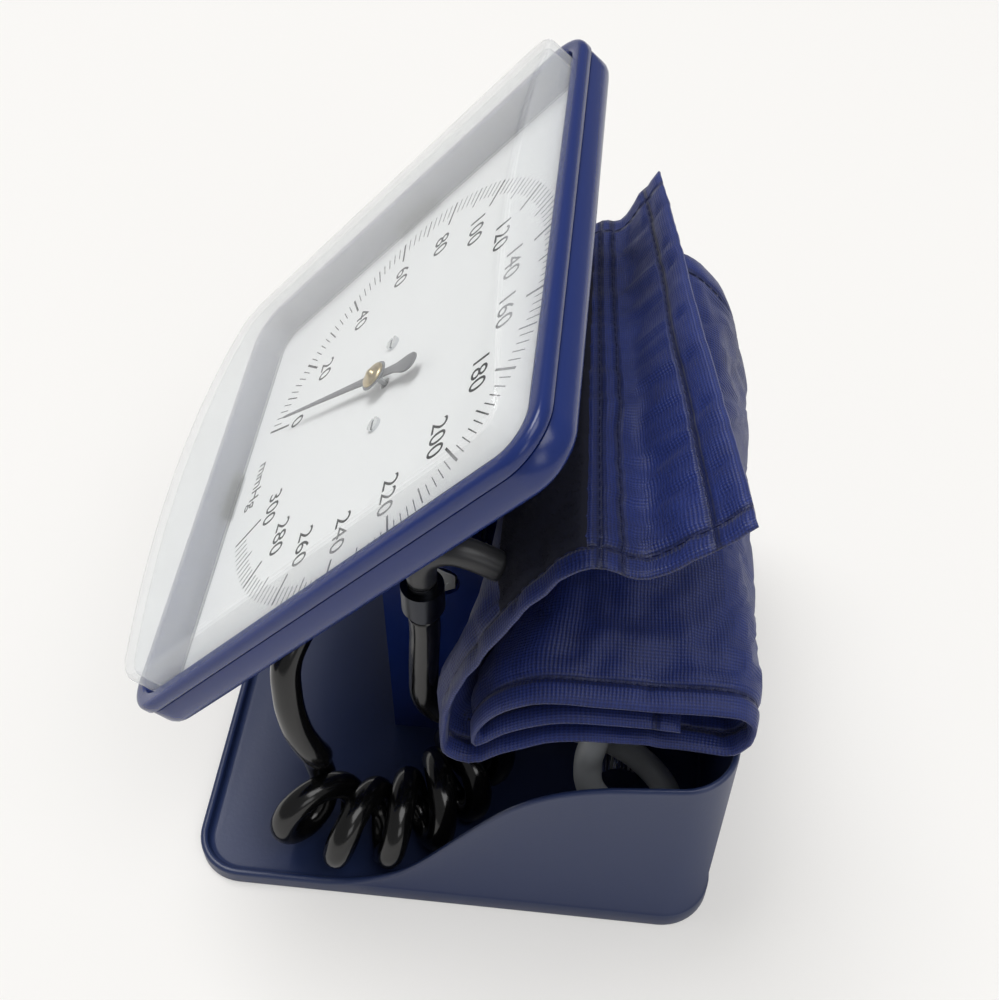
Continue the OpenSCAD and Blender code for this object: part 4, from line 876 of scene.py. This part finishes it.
# %% The two tubes
TUBE_R = 4.0
GAUGE_TUBE = [(50, 13.2, 130.8), (50, 6.2, 134.6), (50, 0.5, 136), (50, -4.5, 133.8),
              (50, -6.8, 129), (50, -7, 123.3)]
BULB_TUBE = [(56, 28.3, 80.9), (56, 32.3, 74), (53, 35, 65), (48, 39, 55), (44, 46, 45),
             (45, 56, 37), (52, 64, 33), (61, 64, 33.5), (66, 57, 37), (66, 48, 43), (64, 41, 51),
             (62, 39.5, 61), (61, 40.5, 70), (57, 42, 76), (50, 43.5, 78), (43, 45, 74.5),
             (37, 47, 65), (33, 49, 54), (31, 50, 45), (31, 50, 37.8)]
for name, points, finish in (("tube_to_gauge", GAUGE_TUBE, DARK_TUBE),
                             ("tube_to_bulb", BULB_TUBE, GREY)):
    line = even(catmull(points, 12), 1.2)
    pts, faces = tube(line, TUBE_R, 20)
    ob = piece(name, pts, faces, finish, "stand", stands_for=["cuff_" + name])

# %% After the tubes
print("bladder tubes made")

# %% [markdown]
# ## Bulb
# A dip-moulded rubber bulb: nearly an egg, but fuller towards its ends, with a necked mouth at
# each end and the mould's fine ridge round the middle. A squashed sphere would be too pointed,
# so its radius follows a power a little above two.

# %% The bulb
BULB_HALF, BULB_R, FULLNESS = 38.0, 23, 2.4
BULB_AT = (-18, 50, 26.3)
RIDGE, RIDGE_W = 0.28, 0.6
NECK = [(4.05, 39.0), (6.1, 39.0), (6.5, 38.6), (6.7, 37.6)]
x = BULB_HALF * np.sin(np.radians(np.linspace(-90, 90, 73)))
r = BULB_R * np.sqrt(np.clip(1 - np.abs(x / BULB_HALF) ** FULLNESS, 0, 1))
wide = r > 7.4
body = np.c_[r + RIDGE * np.exp(-(x / RIDGE_W) ** 2), x][wide]
profile = [(r_, -x_) for r_, x_ in NECK] + [tuple(row) for row in body] + NECK[::-1]
pts, faces = lathe(profile, 72)
pts = np.c_[pts[:, 2] + BULB_AT[0], pts[:, 1] + BULB_AT[1], BULB_AT[2] - pts[:, 0]]
bulb = piece("bulb_skin", pts, faces, BLACK, "stand", stands_for=["bulb"])
sealed(bulb)
print("bulb:", len(bulb.data.vertices), "points")

# %% [markdown]
# ## Cuff
# The cuff is one sewn ribbon, rolled, with a free flap on top. A simulation from a flat ribbon
# would never land in the photo's folds, so the rolled shape is drawn: a near and a far line of
# (y, z) points, and a surface that runs straight from one to the other. Two skins lie on it,
# further apart over the bladder and close together at the hems and the sewn lines.

# %% The ribbon's middle surface
NEAR = [(62, 94), (46, 94.5), (30, 93), (17, 86), (9, 78), (8.5, 84), (14, 94), (25, 101.5),
        (40, 102.5), (56, 102.5), (70, 103), (78, 101), (80.5, 94), (76.5, 85.3), (62, 86),
        (46, 86.5), (30, 84.5), (17, 76.5), (8, 69), (0, 72), (-1, 84), (3, 100), (11, 120),
        (21, 138), (31, 150), (38, 152), (45, 148), (51, 147.5), (59, 155), (66, 161), (71, 166)]
FAR = [(62, 104), (46, 106), (30, 105), (18, 100), (10, 98), (11, 108), (17, 119), (26, 129),
       (38, 135), (48, 137), (58, 134.5), (67, 126), (75, 110), (78, 96), (70, 90), (48, 90),
       (32, 90), (18, 88), (9, 86), (2, 92), (1, 102), (4, 114), (10, 126), (18, 136), (26, 142),
       (31, 144), (36, 143.5), (39, 146), (42, 150), (45, 154), (48, 158)]
WIDE, PER = 144.0, 24
near, far = catmull(NEAR, PER), catmull(FAR, PER)
KNOTS = np.arange(len(near)) / PER


def middle(t, w):
    """Point of the ribbon's middle surface: near (1 - w) + far w, pressed back by the neck."""
    p = np.array([np.interp(t, KNOTS, near[:, k]) * (1 - w) + np.interp(t, KNOTS, far[:, k]) * w
                  for k in (0, 1)])
    xx = 70 - WIDE * w
    beside = np.clip(1 - (np.abs(xx) - 25) / 32, 0, 1)
    above = np.clip((128 - p[1]) / 24, 0, 1)
    p[0] += 15 * beside * above * np.clip(1 - (p[0] + 1) / 40, 0, None)
    slide = np.where(t < 21, 0, -10 * (t - 21) / 9)
    return np.stack([xx + slide, p[0], p[1]], -1)


tt = np.linspace(0, 30, 1201)
run = distances(middle(tt, 0.5))
CUFF_LEN = run[-1]
CELL = 2.3
ROWS, COLS = int(CUFF_LEN / CELL), 62
S, W = np.meshgrid(np.linspace(0, CUFF_LEN, ROWS + 1), np.linspace(0, 1, COLS + 1),
                   indexing="ij")
mid = middle(np.interp(S, run, tt), W)
R, C = S.shape
du, dv = np.gradient(mid, axis=0), np.gradient(mid, axis=1)
normal = np.cross(du, dv)
normal /= np.linalg.norm(normal, axis=2)[..., None]
edge_w = WIDE * np.minimum(W, 1 - W)
edge_s = np.minimum(S, CUFF_LEN - S)
print("cuff ribbon:", round(CUFF_LEN), "x", WIDE, "mm, a grid of", R, "x", C)

# %% [markdown]
# Hems run along both edges and the start, and three seams cross the flap. Stitches pull the
# cloth down in a narrow groove, finer than the mesh's cells, so the groove is in the material:
# the distance to the nearest sewn line, read off the UV map, sinks the weave and darkens it with
# painted shade.

# %% Seams in the cloth's material
HEM = 6.5
FLAP = float(np.interp(23.2, tt, run))
CROSS = [float(np.interp(v, tt, run)) for v in (24.9, 25.6)] + [CUFF_LEN - 9.0]
GROOVE_W, GROOVE_DEPTH = 0.0016, 0.0007


def seamed(mat, along, across):
    """Sinks the cloth beside sewn lines, given in millimetres along and across it, and darkens it
    there with painted shade.
    """
    b = mat.node_tree.nodes["Principled BSDF"]
    place = node(mat, "SeparateXYZ", {0: node(mat, "TexCoord").outputs["UV"]})
    nearest = None
    for axis, lines in (("X", along), ("Y", across)):
        for line in lines:
            side = node(mat, "Math", {0: place.outputs[axis], 1: line / 1000},
                        operation="SUBTRACT")
            away = node(mat, "Math", {0: side.outputs[0]}, operation="ABSOLUTE")
            if nearest is not None:
                away = node(mat, "Math", {0: nearest.outputs[0], 1: away.outputs[0]},
                            operation="MINIMUM")
            nearest = away
    flank = node(mat, "MapRange", {"From Max": GROOVE_W, "Value": nearest.outputs[0]},
                 interpolation_type="SMOOTHSTEP")
    weave, dye = [b.inputs[key].links[0].from_socket for key in ("Normal", "Base Color")]
    sink = node(mat, "Bump", {"Distance": GROOVE_DEPTH, "Height": flank.outputs["Result"],
                              "Normal": weave})
    mat.node_tree.links.new(sink.outputs["Normal"], b.inputs["Normal"])
    # Painted shade: the cloth's colour falls to 0.45 of itself in the groove.
    shade = node(mat, "MapRange", {"From Max": GROOVE_W, "To Min": 0.45,
                                   "Value": nearest.outputs[0]})
    darker = node(mat, "VectorMath", {0: dye, "Scale": shade.outputs["Result"]},
                  operation="SCALE")
    mat.node_tree.links.new(darker.outputs[0], b.inputs["Base Color"])


seamed(CLOTH, CROSS + [HEM], [HEM, WIDE - HEM])
print("seams at", [round(c) for c in CROSS + [HEM]], "mm along")

# %% [markdown]
# Real cloth is never flat. Long soft folds come from noise, read at two sizes, and short gathers
# run away from each sewn line, because the thread is a little shorter than the cloth. Both skins
# follow the same folds, so that the cloth keeps its thickness.

# %% Thickness and folds


def bump(x, width):
    """A smooth hill: exp(-(x / width)^2)."""
    return np.exp(-(x / width) ** 2)


def half_thickness(S, edge_w, edge_s):
    """Half the cloth's thickness: 0.8 at hems and flap, 2.1 over the bladder, less at seams."""
    edge = np.minimum(edge_w, edge_s)
    over = np.clip((edge_w - HEM) / 14, 0, 1) * np.clip((FLAP - S) / 22, 0, 1)
    base = 0.85 + 1.3 * over * over * (3 - 2 * over)
    dip = 0.45 * bump(edge_w - HEM, 1.1) + 0.35 * bump(edge_s - HEM, 1.1)
    for c in CROSS:
        dip = dip + 0.45 * bump(S - c, 1.1)
    lip = np.sqrt(np.clip(edge / 0.9, 0.02, 1))
    return (base * (1 - np.clip(dip, 0, 0.5))) * (0.35 + 0.65 * lip)


def cloud(a, b, seed):
    """Smooth noise, about -1 to 1, at every (a, b): one slice through a 3-D field."""
    return np.vectorize(lambda x, y: noise.noise(Vector((x, y, seed))))(a, b)


def ripple(S, W, seed):
    """Soft folds of the cloth: low noise, and gathers that run away from the sewn lines."""
    x = WIDE * W
    folds = 2.1 * cloud(S / 34, x / 46, seed) + 0.75 * cloud(S / 13, x / 17, seed + 7)
    near_cross = sum(bump(S - c, 11) - 0.75 * bump(S - c, 2) for c in CROSS)
    near_hem = bump(edge_w - HEM, 11) - 0.75 * bump(edge_w - HEM, 2)
    return (folds + 1.2 * cloud(x / 4.2, S / 40, seed + 3) * near_cross
            + 1.1 * cloud(S / 5.0, x / 40, seed + 5) * near_hem)


FOLD_DEPTH = 0.85
wave = FOLD_DEPTH * (ripple(S, W, 2.0) * np.clip((S - 60) / 60, 0.25, 1))
half = half_thickness(S, edge_w, edge_s)
front = mid + normal * (half + wave)[..., None]
back = mid - normal * (half - wave)[..., None]
print("thickness", round(2 * half.min(), 2), "to", round(2 * half.max(), 2), "mm")

# %% The cuff's cloth
pts = np.concatenate([front.reshape(-1, 3), back.reshape(-1, 3)])
N = R * C
number = np.arange(N).reshape(R, C)


def band(a, b, c, d, e, f, g, h):
    """Two rows of quads, one of each in turn, from eight arrays of point numbers."""
    return np.stack([a, b, c, d, e, f, g, h], -1).reshape(-1, 4).tolist()


q = number[:-1, :-1]
faces = band(q, q + 1, q + C + 1, q + C, q + N, q + C + N, q + C + 1 + N, q + 1 + N)
e, f = number[:-1, 0], number[:-1, -1]
faces += band(e, e + C, e + C + N, e + N, f, f + N, f + C + N, f + C)
e, f = number[0, :-1], number[-1, :-1]
faces += band(e, e + N, e + 1 + N, e + 1, f, f + 1, f + 1 + N, f + N)
uv = np.tile(np.c_[S.ravel() / 1000, W.ravel() * WIDE / 1000], (2, 1))
cuff = piece("cuff_cloth", pts, faces, CLOTH, "stand", stands_for=["cuff"],
             uv=uv)
sealed(cuff, None)
print("cuff:", len(pts), "points")

# %% [markdown]
# The drawn skins are too tidy. Blender's cloth blows them apart a little, pinned along every
# seam, and grows them by 3.5%, so that they pucker beside the stitches as sewn nylon does. Each
# move is capped at 2 mm, which keeps the cuff clear of the head. It takes about 20 seconds.

# %% The cloth run
CAP = 2.0


def puffed(ob, start, pin, frames=18):
    """Runs Cloth on the piece's mesh and keeps it, each move m shortened to cap tanh(m / cap)."""
    group = ob.vertex_groups.new(name="sewn")
    pin = pin.round(2)
    for level in np.unique(pin):
        group.add(np.flatnonzero(pin == level).tolist(), float(level), "REPLACE")
    mod = ob.modifiers.new("cloth", "CLOTH")
    nylon = mod.settings
    nylon.quality, nylon.mass, nylon.time_scale = 5, 0.15, 1.0
    nylon.tension_stiffness = nylon.compression_stiffness = 12
    nylon.shear_stiffness, nylon.bending_stiffness = 5, 0.35
    nylon.vertex_group_mass, nylon.pin_stiffness = "sewn", 1.0
    nylon.shrink_min = -0.035
    nylon.use_pressure, nylon.uniform_pressure_force = True, 2.5
    nylon.effector_weights.gravity = 0
    mod.collision_settings.use_collision = False
    mod.point_cache.frame_start, mod.point_cache.frame_end = 1, frames
    for f in range(1, frames + 1):
        scene.frame_set(f)
    settled = ob.evaluated_get(bpy.context.evaluated_depsgraph_get())
    mesh = settled.to_mesh()
    co = np.empty(len(mesh.vertices) * 3)
    mesh.vertices.foreach_get("co", co)
    co = co.reshape(-1, 3) * 1000
    settled.to_mesh_clear()
    ob.modifiers.remove(mod)
    move = co - start
    size = np.linalg.norm(move, axis=1)
    move *= (CAP * np.tanh(size / CAP) / np.maximum(size, 1e-9))[:, None]
    scene.frame_set(1)
    ob.vertex_groups.clear()
    ob.data.vertices.foreach_set("co", ((start + move) / 1000).ravel())
    ob.data.update()
    return start + move, size.max()


skins = pts
sewn = np.clip(bump(edge_w - HEM, 1.3) + bump(edge_s - HEM, 1.3)
               + sum(bump(S - c, 1.3) for c in CROSS) + (edge_w < 3) + (edge_s < 3), 0, 1)
sewn = np.where(sewn > 0.25, 1.0, np.clip(0.04 + 0.25 * (S < 150), 0, 0.2))
skins, far_moved = puffed(cuff, pts, np.tile(sewn.ravel(), 2))
print("cloth moved up to", round(float(far_moved), 2), "mm before the cap")
FRONT, BACK = skins[:N].reshape(R, C, 3), skins[N:].reshape(R, C, 3)
print("cuff ready")

# %% [markdown]
# ## Stitches
# A lockstitch shows as short lengths of thread, 2.5 mm of each 3.3 mm, that dip into the cloth
# at both ends. They are real little tubes, since a painted dash would look flat at the hem's
# edge. Each point is found on the finished skin, so the stitches follow every pucker.

# %% Places on a skin


def on_skin(skin, s_at, w_at):
    """Points of a skin at lengths s (mm) and widths w (0 to 1), by bilinear interpolation."""
    a = np.clip(np.asarray(s_at, float) / CUFF_LEN * (R - 1), 0, R - 1.001)
    b = np.clip(np.asarray(w_at, float) * (C - 1), 0, C - 1.001)
    i, j = a.astype(int), b.astype(int)
    u, v = (a - i)[:, None], (b - j)[:, None]
    return (skin[i, j] * (1 - u) * (1 - v) + skin[i + 1, j] * u * (1 - v)
            + skin[i, j + 1] * (1 - u) * v + skin[i + 1, j + 1] * u * v)


def skin_normal(skin, s_at, w_at):
    """Outward direction of a skin, from two short steps along it."""
    s_at, w_at = np.asarray(s_at, float), np.asarray(w_at, float)
    a = on_skin(skin, s_at + 1, w_at) - on_skin(skin, s_at - 1, w_at)
    b = on_skin(skin, s_at, w_at + 0.008) - on_skin(skin, s_at, w_at - 0.008)
    n = np.cross(a, b)
    n /= np.maximum(np.linalg.norm(n, axis=1), 1e-9)[:, None]
    return n if skin is FRONT else -n


print("points of the skins can be found by length and width")

# %% Stitches
THREAD_R, STITCH, PITCH = 0.2, 2.5, 3.3
ALONG_STITCH = np.array([0, 0.2, 0.5, 0.8, 1.0])
OVER_CLOTH = np.array([-0.15, 0.1, 0.16, 0.1, -0.15])


def stitches(lines):
    """Thread along (skin, lengths, widths) lines: short tubes that dip in at both ends."""
    parts = []
    for skin, ss, ww in lines:
        fine = np.linspace(0, 1, 400)
        sa = np.interp(fine, np.linspace(0, 1, len(ss)), ss)
        wa = np.interp(fine, np.linspace(0, 1, len(ww)), ww)
        d = distances(on_skin(skin, sa, wa))
        for begin in np.arange(0.5, d[-1] - STITCH, PITCH):
            at = begin + STITCH * ALONG_STITCH
            place = np.interp(at, d, sa), np.interp(at, d, wa)
            q = on_skin(skin, *place) + skin_normal(skin, *place) * OVER_CLOTH[:, None]
            parts.append(tube(q, THREAD_R, 6))
    return join(*parts)


INSET = HEM / WIDE
lines = []
for skin in (FRONT, BACK):
    ss = np.linspace(HEM, CUFF_LEN - 3, 300)
    lines += [(skin, ss, np.full(300, INSET)), (skin, ss, np.full(300, 1 - INSET))]
    for c in CROSS + [HEM]:
        lines.append((skin, np.full(40, c), np.linspace(INSET * 0.4, 1 - INSET * 0.4, 40)))
pts, faces = stitches(lines)
piece("cuff_stitches", pts, faces, THREAD, "stand")
print("stitches:", len(faces), "faces")

# %% [markdown]
# ## Hook tape
# The stiff half of a hook-and-loop fastener, sewn across the flap's foot: a strip with a low
# rounded edge, and thousands of small hooks. Each hook is a bent tube of three sides, since only
# their mass is seen. They lean at random, from a fixed seed, so every run gives the same tape.

# %% The tape's strip
TAPE_SIDES = 0.045, 0.955
tape_from, tape_to = (float(np.interp(v, tt, run)) for v in (22.4, 24.5))
ts, tw = np.meshgrid(np.linspace(tape_from, tape_to, 22), np.linspace(*TAPE_SIDES, 60),
                     indexing="ij")
low = on_skin(FRONT, ts.ravel(), tw.ravel())
nn = skin_normal(FRONT, ts.ravel(), tw.ravel())
from_rim = np.minimum(np.minimum(ts - tape_from, tape_to - ts),
                      WIDE * np.minimum(tw - TAPE_SIDES[0], TAPE_SIDES[1] - tw))
lift = (0.15 + 0.75 * np.clip(from_rim / 1.2, 0, 1) ** 0.5).ravel()
base_pts, top_pts = low - 0.4 * nn, low + nn * lift[:, None]
m = ts.size
quads = np.array(grid_faces(*ts.shape))
number = np.arange(m).reshape(ts.shape)
loop = np.r_[number[0], number[1:, -1], number[-1, -2::-1], number[-2:0:-1, 0]]
after = np.roll(loop, -1)
faces = np.stack([quads + m, quads[:, ::-1]], 1).reshape(-1, 4).tolist()
faces += np.stack([loop, after, after + m, loop + m], 1).tolist()
tape = piece("hook_tape_strip", np.r_[base_pts, top_pts], faces, HOOK, "stand",
             stands_for=["hook_tape"])
sealed(tape)
print("tape:", round(tape_to - tape_from), "x", round(WIDE * (TAPE_SIDES[1] - TAPE_SIDES[0])), "mm")

# %% The hooks
HOOKS, HOOK_R = 5200, 0.07
rng = np.random.default_rng(4)
hs = rng.uniform(tape_from + 1, tape_to - 1, HOOKS)
hw = rng.uniform(TAPE_SIDES[0] + 0.01, TAPE_SIDES[1] - 0.01, HOOKS)
root = on_skin(FRONT, hs, hw)
up = skin_normal(FRONT, hs, hw)
lean = rng.normal(0, 0.35, (HOOKS, 3))
bent = np.stack([root + 0.6 * up, root + 0.95 * up + 0.12 * lean, root + 1.1 * up + 0.4 * lean], 1)
pts, faces = join(*[tube(hook, HOOK_R, 3) for hook in bent])
piece("hook_tape_pile", pts, faces, HOOK, "stand")
print("hooks:", HOOKS)

# %% Check the box at the end
low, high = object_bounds()
print("box at the end", [round(c, 4) for c in low], [round(c, 4) for c in high])
